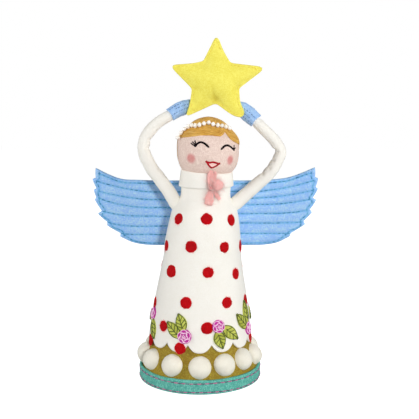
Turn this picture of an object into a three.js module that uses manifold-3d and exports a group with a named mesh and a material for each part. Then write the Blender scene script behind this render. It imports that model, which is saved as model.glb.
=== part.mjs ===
// Hand-felted angel for the top of a tree: a hollow felt bell that slips over the tip, wired arms that hold
// a stuffed star over the head, and a pair of felt wings sewn to the back.
// Millimetres, +Z up, the face towards -Y, the origin in the middle of the hem.
// Left and right are the viewer's.
import * as THREE from 'three';
import { mergeVertices } from 'three/addons/utils/BufferGeometryUtils.js';
import Module from 'manifold-3d';

const wasm = await Module();
wasm.setup();

// Felt and fits
const felt = 2.4; // thickness of one layer
const fit = 0.3; // clearance between pieces that touch
const turnSteps = 42; // facets round the turned pieces

// The figure stands straight at the hem and leans to the right further up
const leanOffset = 14.5;
const leanHeight = 290;

// Hem band, folded round the lower edge of the underskirt
const hemRadius = 59.7;
const hemHeight = 13.6;
const hemRound = 1;

// Dress: outer radius at each height, from the scalloped edge to the crown under the head
const scallopCount = 14;
const scallopSteps = 4;
const scallopHeight = 37.7;
const scallopRise = 7.3;
const scallopShape = 2.2; // higher for flatter scallops with sharper cusps
const skirtRadius = 51.4;
const hipHeight = 75;
const hipRadius = 45.9;
const waistHeight = 115;
const waistRadius = 38.9;
const chestHeight = 141;
const chestRadius = 36.1;
const shoulderDrop = 6.5; // from the arm axis down to the edge of the shoulder
const shoulderRadius = 31.6;
const shoulderHeight = 171.5; // height of the arm axis
const neckRise = 6.5; // from the arm axis up to the neck
const neckRadius = 24.4;
const underskirtHeight = 82;
const edgeMargin = 3; // plain cloth over the cusps of the scallops

// Felt balls on the underskirt
const pompomTurns = [0.5, 26.6, 51.6, 78, 111, 144, 177, 210, 243, 276, 301, 330.8]; // degrees
const pompomRadius = 10.4;
const pompomSink = 2.2; // how deep the middle of a ball lies behind the face of the underskirt
const pompomLift = 10; // its height over the upper edge of the hem band

// Collar, a folded band that closes round the neck
const collarLift = 16.2; // from the arm axis to its lower edge
const collarHeight = 15;
const collarRadius = 26.6;
const collarTaper = 2;
const collarLap = 8.8; // how far the crown of the dress reaches up inside it

// Head, hair and pearls
const headRadius = 27;
const headDrop = 29.2; // from the widest part down to the seat on the dress
const headSquare = 3; // fullness of the cheeks
const headSteps = 24; // facets round the head
const hairThickness = 2;
const hairDepth = 1; // how far behind the middle of the head the sides of the face end
const hairline = [[-30, 6.5], [-17, 11.7], [0, 13.2], [11, 12.2], [16.6, 15.9], [19.5, 10.4], [30, 3.5]];
const pearlRadius = 2;
const pearlCount = 19;
const pearlTurns = [-96, 56]; // ends of the string, in degrees from the brow
const pearlTilt = 46; // slope of the band over the head, in degrees
const pearlLift = 3.8; // distance of its plane from the middle of the head
const threadRadius = 0.8;
const beadShape = [[0.2, 0.8], [0.5, 1], [0.8, 0.8]]; // shares of a bead's length and radius

// Bow on the collar
const bowSide = 4.3; // knot's distance to the right of the middle
const bowLift = 3; // knot's height above the lower edge of the collar
const bowParts = [
  { size: [3.4, 3.2, 3.4], at: [0, 0], turn: 0 }, // knot
  { size: [3.4, 2.8, 8], at: [0.4, 7.2], turn: 0 }, // standing loop
  { size: [5.2, 3, 4.8], at: [5.6, 1.4], turn: 0 }, // round loop
  { size: [3.6, 3.4, 9.6], at: [-2, -8.4], turn: 10 }, // left tail
  { size: [2.9, 3.4, 8.6], at: [4.4, -7], turn: -30 }, // right tail
];

// Wire and arms; each arm's bends are counted sideways and up from the end of the axle, the last is the wrist
const wireRadius = 1;
const axleReach = 1.5; // straight wire outside the dress, before the first bend
const sleeveRoot = 6.5;
const sleeveElbow = 5.9;
const sleeveWrist = 5.1;
const armBends = {
  left: [[-6.5, 11.3], [-13.3, 22], [-24.1, 38], [-29.8, 52.5], [-26.6, 66], [-16.6, 77], [-3.6, 85.5]],
  right: [[10.4, 9.4], [21.1, 20.1], [28.8, 26.9], [38.1, 38.6], [42.9, 50.9], [38.1, 60.1], [28.3, 70.2],
    [19.6, 78.8]],
};
const swing = { back: -20, forward: 35 }; // degrees about the axle

// Mitts
const mittLength = 28.5;
const mittWidth = 12.6;
const mittDepth = 9;
const mittBore = 10; // depth of the wire in it
const mittShape = [[0.94, 0], [1, 0.2], [1, 0.6], [0.82, 0.82], [0.45, 0.96]]; // shares of its width and length

// Star
const starPoint = 46; // to the points, before they are rounded
const starNotch = 21;
const starStretch = 1.08; // width over height
const starRound = 0.3; // share of an edge taken by the rounding of a point
const starNotchRound = 0.12;
const starSeam = 0.9; // where the stitched edge begins, as a share of the outline
const starCrown = 6; // how far the filling lifts each face
const starFullness = 0.7; // lower for a flatter middle and steeper sides
const starShares = [0.45, 0.75]; // rings of the swelling, as shares of the outline
const starSide = 2.6; // middle of the star, from the middle of the two wrists
const starRise = 35.9;

// Wings: feather tips counted outwards from the leaning axis and up from the lower edge
const wingBottom = 122.8;
const wingTop = 67.8; // height of the straight upper edge over the lower edge
const wingRoot = 6; // from the axis to the sewn edge of each wing
const featherTips = [[109, 81], [112.2, 70.1], [112.2, 59], [110.9, 47.7], [107.3, 34.1], [100.8, 22.3],
  [86.2, 9.3]];
const featherNotch = 2.6;
const featherStep = 0.25; // place of a notch, from the lower of its two tips
const featherBulge = 0.5;
const wingUpper = [[66, 1], [84, 3.4], [98, 8.6]]; // bends of the upper edge, from the level of wingTop
const wingLower = [[74, 3], [62, 0.6], [46, 0]]; // bends of the lower edge

// Sprigs on the skirt: a rose with two leaves, in four arrangements taken in turn
const sprigTurns = [-73, -17, 21, 69, 108, 160, 196, 243]; // degrees from the front
const sprigHeights = [66, 52.5, 61.5, 52.5];
const roseRadius = 6.3;
const roseHeight = 1.8;
const roseShape = [[1, 0.33], [0.7, 0.85]]; // shares of its radius and height
const leafLength = 17.8;
const leafWidth = 11.2;
const leafThickness = 1.2;
const leafRib = 1.56; // thickness along its middle
const leafEnd = 0.6; // width of its blunt ends
const leafBelly = 0.85; // lower to bring the widest place nearer the rose
const leafFullness = 0.8; // lower for rounder sides
const leafPlaces = [
  [{ from: 284, towards: 299, size: 1 }, { from: 185, towards: 203, size: 0.8 }],
  [{ from: 100, towards: 109, size: 0.82 }, { from: 188, towards: 136, size: 0.8 }],
  [{ from: 263, towards: 281, size: 0.8 }, { from: 352, towards: 313, size: 0.8 }],
  [{ from: 92, towards: 99, size: 1 }, { from: 168, towards: 131, size: 0.95 }],
]; // degrees where each leaf starts on its rose and where it points, and its share of leafLength

const radians = THREE.MathUtils.degToRad;
const leanAt = (z) => leanOffset * (z / leanHeight) ** 2;

// Heights that follow from the driving dimensions
const collarBottom = shoulderHeight + collarLift;
const collarTop = collarBottom + collarHeight;
const dressTop = collarBottom + collarLap;
const headMiddle = dressTop + fit + headDrop;
const pompomHeight = hemHeight + pompomLift;

// Closed geometry with shared vertices and nothing but positions
function welded(geometry) {
  const plain = geometry.clone();
  plain.deleteAttribute('normal');
  plain.deleteAttribute('uv');
  const merged = mergeVertices(plain, 1e-4);
  const corners = merged.index.array;
  const kept = [];
  for (let i = 0; i < corners.length; i += 3) {
    const [a, b, c] = corners.slice(i, i + 3);
    if (a !== b && b !== c && c !== a) kept.push(a, b, c);
  }
  merged.setIndex(kept);
  return merged;
}

function solidOf(geometry) {
  const merged = welded(geometry);
  const vertProperties = new Float32Array(merged.attributes.position.array);
  const triVerts = new Uint32Array(merged.index.array);
  return new wasm.Manifold(new wasm.Mesh({ numProp: 3, vertProperties, triVerts }));
}

function geometryOf(solid) {
  const mesh = solid.getMesh();
  const geometry = new THREE.BufferGeometry();
  geometry.setAttribute('position', new THREE.BufferAttribute(new Float32Array(mesh.vertProperties), 3));
  geometry.setIndex(new THREE.BufferAttribute(new Uint32Array(mesh.triVerts), 1));
  return geometry;
}

const cut = (geometry, ...tools) => geometryOf(
  tools.reduce((solid, tool) => solid.subtract(solidOf(tool)), solidOf(geometry)),
);
const joined = (pieces) => geometryOf(
  pieces.slice(1).reduce((solid, piece) => solid.add(solidOf(piece)), solidOf(pieces[0])),
);

// Profile of [radius, height] pairs, run upwards on the outside, turned about the vertical axis
function turned(profile, steps = turnSteps) {
  const points = profile.map(([radius, z]) => new THREE.Vector2(radius, z));
  return new THREE.LatheGeometry(points, steps).rotateX(Math.PI / 2);
}

const closedProfile = (profile) => [...profile, profile[0]];

// Each level is moved sideways by the lean of the figure at its height
function leaned(geometry) {
  const place = geometry.attributes.position;
  for (let i = 0; i < place.count; i++) place.setX(i, place.getX(i) + leanAt(place.getZ(i)));
  return geometry;
}

// Faces between rings of equal length; the first and last ring may be a single point
function lofted(rings) {
  const places = rings.flat();
  const starts = rings.map((ring, i) => rings.slice(0, i).reduce((sum, before) => sum + before.length, 0));
  const sides = Math.max(...rings.map((ring) => ring.length));
  const corner = (ring, k) => starts[ring] + (rings[ring].length === 1 ? 0 : k % sides);
  const index = [];
  for (let ring = 0; ring < rings.length - 1; ring++) {
    for (let k = 0; k < sides; k++) {
      const [a, b] = [corner(ring, k), corner(ring, k + 1)];
      const [c, d] = [corner(ring + 1, k + 1), corner(ring + 1, k)];
      if (a !== b) index.push(a, b, c);
      if (c !== d) index.push(a, c, d);
    }
  }
  const geometry = new THREE.BufferGeometry().setFromPoints(places);
  geometry.setIndex(index);
  return outward(geometry);
}

// Turns every face over if the shape is inside out
function outward(geometry) {
  const place = geometry.attributes.position;
  const index = [...geometry.index.array];
  const [p, q, r] = [new THREE.Vector3(), new THREE.Vector3(), new THREE.Vector3()];
  let volume = 0;
  for (let i = 0; i < index.length; i += 3) {
    p.fromBufferAttribute(place, index[i]);
    q.fromBufferAttribute(place, index[i + 1]);
    r.fromBufferAttribute(place, index[i + 2]);
    volume += p.dot(q.cross(r));
  }
  if (volume < 0) index.reverse();
  geometry.setIndex(index);
  return geometry;
}

// Smooth radius between stations of [height, radius]
function radiusBetween(stations, z) {
  const last = stations.length - 1;
  const above = stations.findIndex(([height]) => height > z);
  const i = above < 0 ? last - 1 : Math.max(above - 1, 0);
  const slope = (k) => {
    const [low, high] = [stations[Math.max(k - 1, 0)], stations[Math.min(k + 1, last)]];
    return (high[1] - low[1]) / (high[0] - low[0]);
  };
  const [[z0, r0], [z1, r1]] = [stations[i], stations[i + 1]];
  const span = z1 - z0;
  const t = (z - z0) / span;
  const rest = 1 - t;
  return r0 * (1 + 2 * t) * rest ** 2 + slope(i) * span * t * rest ** 2
    + r1 * t ** 2 * (1 + 2 * rest) - slope(i + 1) * span * t ** 2 * rest;
}

// Trunk of the figure: the dress and, over it, the collar
const collarOuter = (z) => collarRadius - collarTaper * (z - collarBottom) / collarHeight;
const underCollar = (z) => collarOuter(z) - felt - fit;
const dressStations = [
  [scallopHeight, skirtRadius],
  [hipHeight, hipRadius],
  [waistHeight, waistRadius],
  [chestHeight, chestRadius],
  [shoulderHeight - shoulderDrop, shoulderRadius],
  [shoulderHeight, (shoulderRadius + neckRadius) / 2],
  [shoulderHeight + neckRise, neckRadius],
  [collarBottom, underCollar(collarBottom)],
];
const dressRadius = (z) => radiusBetween(dressStations, z);
const scallopTop = scallopHeight + scallopRise;
const dressRows = [
  scallopTop + edgeMargin,
  hipHeight,
  (hipHeight + waistHeight) / 2,
  waistHeight,
  chestHeight,
  (chestHeight + shoulderHeight - shoulderDrop) / 2,
  shoulderHeight - shoulderDrop,
  shoulderHeight,
  shoulderHeight + neckRise,
  collarBottom,
];
const skirtSlope = (skirtRadius - dressRadius(dressRows[0])) / (dressRows[0] - scallopHeight);
const edgeRadius = (z) => skirtRadius - skirtSlope * (z - scallopHeight);
const hemSeat = hemRadius - felt - fit; // outside of the underskirt inside the folded band
const underskirtOuter = (z) => {
  const seat = edgeRadius(scallopHeight) - felt - fit;
  const share = THREE.MathUtils.clamp((z - hemHeight) / (scallopHeight - hemHeight), 0, 1);
  if (z <= scallopHeight) return hemSeat + (seat - hemSeat) * share;
  return (z <= dressRows[0] ? edgeRadius(z) : dressRadius(z)) - felt - fit;
};

// Solid inside of the figure, with room for the fit, that pieces lying on it are cut by
function trunkCore() {
  const rows = [scallopTop, ...dressRows];
  const dressSide = rows.map((z) => [(z <= dressRows[0] ? edgeRadius(z) : dressRadius(z)) + fit, z]);
  const collarSide = [collarBottom, collarTop].map((z) => [collarOuter(z) + fit, z]);
  return turned([[0, scallopTop], ...dressSide, ...collarSide, [0, collarTop]]);
}

function dressCore() {
  const side = dressRows.map((z) => [dressRadius(z) + fit, z]);
  return leaned(turned([[0, dressRows[0]], ...side, [0, collarBottom]]));
}

function dress() {
  const outer = [[skirtRadius, scallopHeight], ...dressRows.map((z) => [dressRadius(z), z])];
  outer.push([underCollar(dressTop - felt), dressTop - felt], [underCollar(dressTop) - felt, dressTop]);
  const lining = dressRows.filter((z) => z !== shoulderHeight);
  const inner = [[skirtRadius - felt, scallopHeight], ...lining.map((z) => [dressRadius(z) - felt, z])];
  const crown = [[underCollar(dressTop) - 2 * felt, dressTop - felt], [0, dressTop - felt]];
  const profile = [[0, dressTop], ...outer.reverse(), ...inner, ...crown].reverse();
  const shell = turned(profile, scallopCount * scallopSteps);
  const place = shell.attributes.position;
  for (let i = 0; i < place.count; i++) {
    const [x, y, z] = [place.getX(i), place.getY(i), place.getZ(i)];
    if (Math.abs(z - scallopHeight) > 1e-3) continue;
    const turn = Math.atan2(x, -y) / (2 * Math.PI) * scallopCount;
    const across = 2 * Math.abs(turn - Math.round(turn));
    const edge = scallopHeight + scallopRise * across ** scallopShape;
    const radius = Math.hypot(x, y);
    const moved = (radius + edgeRadius(edge) - skirtRadius) / radius;
    place.setXYZ(i, x * moved, y * moved, edge);
  }
  const wireHole = new THREE.CylinderGeometry(wireRadius + fit, wireRadius + fit, 4 * shoulderRadius, 12)
    .rotateZ(Math.PI / 2).translate(0, 0, shoulderHeight);
  return cut(leaned(shell), wireHole);
}

function underskirt() {
  const rows = [felt + fit, hemHeight, scallopHeight, dressRows[0], hipHeight, underskirtHeight];
  const outer = rows.map((z) => [underskirtOuter(z), z]);
  const inner = rows.map((z) => [underskirtOuter(z) - felt, z]).reverse();
  return leaned(turned(closedProfile([...outer, ...inner])));
}

function hemBand() {
  const inside = hemSeat - felt - fit; // face of the inner leaf against the underskirt
  const least = inside - felt;
  return leaned(turned(closedProfile([
    [least + hemRound, 0],
    [hemRadius - hemRound, 0],
    [hemRadius, hemRound],
    [hemRadius, hemHeight - hemRound],
    [hemRadius - hemRound, hemHeight],
    [hemRadius - felt, hemHeight],
    [hemRadius - felt, felt],
    [inside, felt],
    [inside, hemHeight],
    [least, hemHeight],
    [least, hemRound],
  ])));
}

function pompom(turn) {
  const reach = underskirtOuter(pompomHeight) - pompomSink;
  const ball = new THREE.SphereGeometry(pompomRadius, 10, 7).rotateX(Math.PI / 2);
  ball.translate(reach * Math.sin(turn), -reach * Math.cos(turn), pompomHeight);
  const low = hemHeight - pompomRadius;
  const rows = [low, hemHeight, scallopHeight, scallopTop];
  const core = turned([[0, low], ...rows.map((z) => [underskirtOuter(z) + fit, z]), [0, scallopTop]]);
  return leaned(cut(ball, core));
}

function collar() {
  const lip = felt / 3;
  return leaned(turned(closedProfile([
    [collarOuter(collarBottom) - felt, collarBottom],
    [collarOuter(collarBottom), collarBottom],
    [collarOuter(collarTop - lip), collarTop - lip],
    [collarOuter(collarTop) - lip, collarTop],
    [collarOuter(collarTop) - felt, collarTop],
  ])));
}

// Outline of the head, grown outwards, from a lower height to the pole: full cheeks below, round above
function headProfile(grow, low) {
  const radius = headRadius + grow;
  const steps = 6;
  const shares = Array.from({ length: steps }, (unused, i) => i / steps);
  const lower = shares.map((share) => {
    const z = THREE.MathUtils.lerp(low, headMiddle, share);
    return [radius * (1 - ((headMiddle - z) / headDrop) ** headSquare) ** (1 / headSquare), z];
  });
  const upper = shares.map((share) => {
    const turn = Math.PI / 2 * share;
    return [radius * Math.cos(turn), headMiddle + radius * Math.sin(turn)];
  });
  return [...lower, ...upper, [0, headMiddle + radius]];
}

function head() {
  const seat = headMiddle - headDrop;
  return leaned(turned([[0, seat], ...headProfile(0, seat + felt / 2)], headSteps));
}

function hairCap() {
  const low = collarTop + 2 * fit;
  const cap = turned([...headProfile(fit, low).reverse(), ...headProfile(fit + hairThickness, low)], headSteps);
  const wide = 2 * headRadius;
  const opening = new THREE.Shape();
  opening.moveTo(wide, -wide);
  opening.lineTo(wide, hairline.at(-1)[1]);
  for (const [x, z] of [...hairline].reverse()) opening.lineTo(x, z);
  opening.lineTo(-wide, hairline[0][1]);
  opening.lineTo(-wide, -wide);
  const face = new THREE.ExtrudeGeometry(opening, { depth: wide, bevelEnabled: false })
    .rotateX(Math.PI / 2).translate(0, hairDepth, headMiddle);
  return leaned(cut(cap, face));
}

// Beads and thread as one string of swellings along an arc over the hair
function pearlString() {
  const reach = headRadius + hairThickness + 2 * fit + pearlRadius;
  const ringRadius = Math.sqrt(reach ** 2 - pearlLift ** 2);
  const tilt = radians(pearlTilt);
  const aside = new THREE.Vector3(1, 0, 0);
  const brow = new THREE.Vector3(0, -Math.cos(tilt), Math.sin(tilt));
  const square = new THREE.Vector3(0, Math.sin(tilt), Math.cos(tilt)); // to the plane of the band
  const middle = square.clone().multiplyScalar(pearlLift).add(new THREE.Vector3(0, 0, headMiddle));
  const bead = [[0, threadRadius], ...beadShape.map(([along, share]) => [along, share * pearlRadius])];
  const stations = [];
  for (let i = 0; i < pearlCount; i++) stations.push(...bead.map(([along, radius]) => [i + along, radius]));
  stations.push([pearlCount, threadRadius]);
  const sides = 6;
  const outwards = (station) => {
    const turn = radians(THREE.MathUtils.lerp(...pearlTurns, station / pearlCount));
    return aside.clone().multiplyScalar(Math.sin(turn)).addScaledVector(brow, Math.cos(turn));
  };
  const onThread = (station) => middle.clone().addScaledVector(outwards(station), ringRadius);
  const rings = stations.map(([station, radius]) => Array.from({ length: sides }, (unused, k) => {
    const turn = 2 * Math.PI * k / sides;
    return onThread(station)
      .addScaledVector(outwards(station), radius * Math.cos(turn))
      .addScaledVector(square, radius * Math.sin(turn));
  }));
  return leaned(lofted([[onThread(0)], ...rings, [onThread(pearlCount)]]));
}

// Tied from one length of wool: a knot, a loop standing up, a round loop to the right and two hanging tails
function bow() {
  const shapes = bowParts.map(({ size, at, turn }) => {
    const z = collarBottom + bowLift + at[1];
    const front = z < collarBottom ? dressRadius(z) : collarOuter(z);
    return new THREE.SphereGeometry(1, 9, 7).rotateX(Math.PI / 2).scale(...size)
      .rotateY(radians(turn)).translate(bowSide + at[0], -front - size[1] / 2, z);
  });
  return leaned(cut(joined(shapes), trunkCore()));
}

// Arms: the wire's path and the sleeves lie in one upright plane through the axle
const axleEnd = (side) => {
  const sign = side === 'left' ? -1 : 1;
  const wall = leanAt(shoulderHeight) + sign * (dressRadius(shoulderHeight) + axleReach);
  return new THREE.Vector3(wall, 0, shoulderHeight);
};
const bendPoints = (side) => armBends[side].map(([x, z]) => axleEnd(side).add(new THREE.Vector3(x, 0, z)));
const wristOf = (side) => bendPoints(side).at(-1);
const handDirection = (side) => wristOf(side).sub(bendPoints(side).at(-2)).normalize();

function wireHalf(side) {
  const inwards = side === 'left' ? 1 : -1;
  const inside = (distance) => axleEnd(side).add(new THREE.Vector3(inwards * distance, 0, 0));
  const straight = [inside(4 * wireRadius), inside(wireRadius)];
  const tip = wristOf(side).addScaledVector(handDirection(side), mittBore);
  return [...straight, axleEnd(side), ...bendPoints(side), tip];
}

function wireTube(radius) {
  const bends = [...wireHalf('left').reverse(), ...wireHalf('right')];
  const path = new THREE.CatmullRomCurve3(bends, false, 'centripetal');
  const section = new THREE.Shape().absarc(0, 0, radius, 0, 2 * Math.PI);
  const options = { steps: 60, curveSegments: 3, bevelEnabled: false, extrudePath: path };
  return new THREE.ExtrudeGeometry(section, options);
}

function sleeve(side) {
  const bends = bendPoints(side);
  const root = axleEnd(side).multiplyScalar(2).sub(bends[0]);
  const tip = wristOf(side).addScaledVector(handDirection(side), mittBore);
  const controls = [root, axleEnd(side), ...bends, tip];
  const path = new THREE.CatmullRomCurve3(controls, false, 'centripetal');
  const wristShare = (controls.length - 2) / (controls.length - 1);
  const steps = 18;
  const sides = 10;
  const rings = Array.from({ length: steps + 1 }, (unused, i) => {
    const share = i / steps;
    const middle = path.getPoint(share * wristShare);
    const along = path.getTangent(share * wristShare);
    const across = new THREE.Vector3(along.z, 0, -along.x);
    const width = share < 0.5
      ? THREE.MathUtils.lerp(sleeveRoot, sleeveElbow, THREE.MathUtils.smoothstep(share, 0, 0.5))
      : THREE.MathUtils.lerp(sleeveElbow, sleeveWrist, THREE.MathUtils.smoothstep(share, 0.5, 1));
    return Array.from({ length: sides }, (none, k) => {
      const turn = 2 * Math.PI * k / sides;
      const offset = across.clone().multiplyScalar(width * Math.cos(turn));
      return middle.clone().add(offset).add(new THREE.Vector3(0, width * Math.sin(turn), 0));
    });
  });
  const tube = lofted([[path.getPoint(0)], ...rings, [wristOf(side)]]);
  const core = dressCore().translate(0, 0, -shoulderHeight);
  const stops = 7;
  const room = Array.from({ length: stops }, (unused, i) => {
    const turn = THREE.MathUtils.lerp(swing.back, swing.forward, i / (stops - 1));
    return core.clone().rotateX(-radians(turn)).translate(0, 0, shoulderHeight);
  });
  return cut(tube, ...room, wireTube(wireRadius + fit));
}

// Middle of the star: over the middle of the wrists, in front of the mitts
const starPlace = () => {
  const middle = wristOf('left').add(wristOf('right')).multiplyScalar(0.5);
  const front = mittDepth / 2 + fit + felt + fit / 2;
  return middle.add(new THREE.Vector3(starSide, -front, starRise));
};
const starLift = (share) => starCrown * Math.max(1 - (share / starSeam) ** 2, 0) ** starFullness;

// Rounded five-pointed outline in the plane of the star
function starOutline() {
  const corner = (k) => {
    const turn = Math.PI * k / 5;
    const reach = k % 2 ? starNotch : starPoint;
    return new THREE.Vector3(starStretch * reach * Math.sin(turn), 0, reach * Math.cos(turn));
  };
  const points = [];
  for (let k = 0; k < 10; k++) {
    const share = k % 2 ? starNotchRound : starRound;
    const [before, here, after] = [corner(k + 9), corner(k), corner(k + 1)];
    const [start, end] = [before, after].map((other) => here.clone().lerp(other, share));
    const curve = new THREE.QuadraticBezierCurve3(start, here, end);
    points.push(...curve.getPoints(k % 2 ? 2 : 4));
  }
  return points;
}

const starRing = (share, y) => starOutline().map((point) => point.multiplyScalar(share).setY(y));

function starHalf(facing) {
  const shares = [...starShares, starSeam, 1];
  const outside = shares.map((share) => starRing(share, facing * (fit / 2 + felt + starLift(share))));
  const inside = shares.map((share) => starRing(share, facing * (fit / 2 + starLift(share)))).reverse();
  const outerPole = [new THREE.Vector3(0, facing * (fit / 2 + felt + starCrown), 0)];
  const innerPole = [new THREE.Vector3(0, facing * (fit / 2 + starCrown), 0)];
  return lofted([outerPole, ...outside, ...inside, innerPole]).translate(...starPlace());
}

function starFilling() {
  const lift = (share) => fit / 2 + starLift(share) - fit;
  const front = starShares.map((share) => starRing(share, -lift(share)));
  const back = starShares.map((share) => starRing(share, lift(share))).reverse();
  const poles = [-1, 1].map((facing) => [new THREE.Vector3(0, facing * lift(0), 0)]);
  return lofted([poles[0], ...front, ...back, poles[1]]).translate(...starPlace());
}

function mitt(side) {
  const bore = wireRadius + fit;
  const half = mittWidth / 2;
  const outer = mittShape.map(([width, along]) => [half * width, mittLength * along]);
  const depth = mittBore + fit;
  const hand = turned([[0, depth], [bore, depth], [bore, 0], ...outer, [0, mittLength]], 16);
  const place = hand.attributes.position;
  for (let i = 0; i < place.count; i++) {
    const apart = Math.hypot(place.getX(i), place.getY(i));
    if (apart > bore + fit) place.setY(i, place.getY(i) * mittDepth / mittWidth);
  }
  const turn = Math.atan2(handDirection(side).x, handDirection(side).z);
  hand.rotateY(turn).translate(...wristOf(side).addScaledVector(handDirection(side), fit));
  const rear = fit / 2 + felt + fit; // back of the star at its edge, with room for the fit
  const shares = [1, starSeam, ...[...starShares].reverse()];
  const back = shares.map((share) => starRing(share, rear + starLift(share)));
  const front = [starRing(1, 0)];
  const poles = [0, rear + starCrown].map((y) => [new THREE.Vector3(0, y, 0)]);
  const starCore = lofted([poles[0], ...front, ...back, poles[1]]).translate(...starPlace());
  return cut(hand, starCore);
}

// Wings lie along the back of the figure, from the dress at their lower edge to the collar at their upper edge
const wingTilt = Math.atan2(dressRadius(wingBottom) - collarRadius, wingTop);
const backStations = [
  [wingBottom, dressRadius(wingBottom)],
  ...dressRows.filter((z) => z > wingBottom).map((z) => [z, dressRadius(z)]),
  [collarBottom, collarRadius],
];
const wingReaches = backStations.map(([z, radius]) => radius + (z - wingBottom) * Math.tan(wingTilt));
const wingFront = fit + Math.max(...wingReaches);

function wingOutline(sign) {
  const shape = new THREE.Shape();
  const at = ([x, z]) => [sign * (x - wingRoot), z];
  shape.moveTo(...at([wingRoot, 0]));
  for (const point of [...wingLower].reverse()) shape.lineTo(...at(point));
  const tips = [...featherTips].reverse();
  const middle = [wingRoot, wingTop / 2];
  tips.forEach(([x, z], i) => {
    if (i === 0) shape.lineTo(...at([x, z]));
    const next = tips[i + 1];
    if (!next) return;
    const between = [x + featherStep * (next[0] - x), z + featherStep * (next[1] - z)];
    const away = Math.hypot(between[0] - middle[0], between[1] - middle[1]);
    const notch = between.map((value, axis) => value - featherNotch * (value - middle[axis]) / away);
    shape.quadraticCurveTo(...at([x + featherBulge, (z + notch[1]) / 2]), ...at(notch));
    shape.lineTo(...at(next));
  });
  for (const [x, z] of [...wingUpper].reverse()) shape.lineTo(...at([x, wingTop + z]));
  shape.lineTo(...at([wingRoot, wingTop]));
  return shape;
}

function wingLayer(sign, layer) {
  const options = { depth: felt, bevelEnabled: false, curveSegments: 3 };
  const plate = new THREE.ExtrudeGeometry(wingOutline(sign), options);
  return plate.rotateX(Math.PI / 2).translate(0, felt + layer * (felt + fit), 0);
}

// A felt rose seen as a shallow dome, lying on the skirt
function rose(turn, height) {
  const slope = Math.atan((dressRadius(height - 1) - dressRadius(height + 1)) / 2);
  const side = roseShape.map(([out, up]) => [roseRadius * out, roseHeight * up]);
  const dome = turned([[0, 0], [roseRadius, 0], ...side, [0, roseHeight]], 14);
  dome.rotateX(Math.PI / 2 - slope).translate(0, -dressRadius(height) - fit, height);
  return leaned(cut(dome.rotateZ(turn), trunkCore()));
}

// A pointed leaf bent round the skirt, starting at the edge of its rose
function leaf(turn, height, place) {
  const from = radians(place.from);
  const towards = radians(place.towards);
  const start = roseRadius + 2 * fit;
  const length = leafLength * place.size;
  const steps = 6;
  const onSkirt = (along, across, lift) => {
    const u = start * Math.cos(from) + along * Math.cos(towards) - across * Math.sin(towards);
    const v = start * Math.sin(from) + along * Math.sin(towards) + across * Math.cos(towards);
    const z = height + v;
    const radius = dressRadius(z) + fit + lift;
    const angle = turn + u / dressRadius(height);
    return new THREE.Vector3(radius * Math.sin(angle), -radius * Math.cos(angle), z);
  };
  const rings = [];
  for (let i = 0; i <= steps; i++) {
    const share = i / steps;
    const swell = Math.sin(Math.PI * share ** leafBelly) ** leafFullness;
    const half = Math.max(leafWidth * swell, leafEnd) / 2;
    const along = length * share;
    rings.push([
      onSkirt(along, -half, 0),
      onSkirt(along, 0, 0),
      onSkirt(along, half, 0),
      onSkirt(along, half, leafThickness),
      onSkirt(along, 0, leafRib),
      onSkirt(along, -half, leafThickness),
    ]);
  }
  const ends = [onSkirt(0, 0, leafThickness / 2), onSkirt(length, 0, leafThickness / 2)];
  return leaned(lofted([[ends[0]], ...rings, [ends[1]]]));
}

const angel = new THREE.Group();

function addPiece(name, geometry, color, parent = angel, roughness = 0.95, metalness = 0) {
  const mesh = new THREE.Mesh(geometry, new THREE.MeshStandardMaterial({ color, roughness, metalness }));
  mesh.name = name;
  parent.add(mesh);
}

const white = 0xf5f0e6;
const sky = 0x95c0ee;
const yellow = 0xf3e76d;

addPiece('dress', dress(), white);
addPiece('underskirt', underskirt(), 0x8d7c2c);
addPiece('hem_band', hemBand(), 0x6cb8ab);
pompomTurns.forEach((degrees, i) => {
  addPiece(`pompom_${String(i + 1).padStart(2, '0')}`, pompom(radians(degrees)), 0xf0eddf);
});
addPiece('collar', collar(), 0xebe7da);
addPiece('head', head(), 0xe9d3c6);
addPiece('hair_cap', hairCap(), 0xd4a53c);
addPiece('pearl_string', pearlString(), 0xf4efe4, angel, 0.3);
addPiece('bow', bow(), 0xf8afb0);

const arms = new THREE.Group();
angel.add(arms);
addPiece('arm_wire', wireTube(wireRadius), 0x9a9a9a, arms, 0.4, 1);
for (const side of ['left', 'right']) {
  addPiece(`${side}_sleeve`, sleeve(side), white, arms);
  addPiece(`${side}_mitt`, mitt(side), sky, arms);
}
addPiece('star_front', starHalf(-1), yellow, arms);
addPiece('star_back', starHalf(1), yellow, arms);
addPiece('star_filling', starFilling(), 0xefeae0, arms);

for (const [side, sign] of [['left', -1], ['right', 1]]) {
  const wing = new THREE.Group();
  wing.position.set(leanAt(wingBottom + wingTop / 2) + sign * wingRoot, wingFront, wingBottom);
  wing.rotation.x = wingTilt;
  angel.add(wing);
  addPiece(`${side}_wing_front`, wingLayer(sign, 0), sky, wing);
  addPiece(`${side}_wing_back`, wingLayer(sign, 1), sky, wing);
}

sprigTurns.forEach((degrees, i) => {
  const turn = radians(degrees);
  const height = sprigHeights[i % sprigHeights.length];
  addPiece(`rose_${i + 1}`, rose(turn, height), 0xd786b2);
  leafPlaces[i % leafPlaces.length].forEach((place, k) => {
    addPiece(`leaf_${i + 1}${'ab'[k]}`, leaf(turn, height, place), 0x93913d);
  });
});

export default angel;
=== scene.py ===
import math
from functools import partial

import bmesh
import bpy
import numpy as np
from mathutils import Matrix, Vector, geometry, noise


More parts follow.
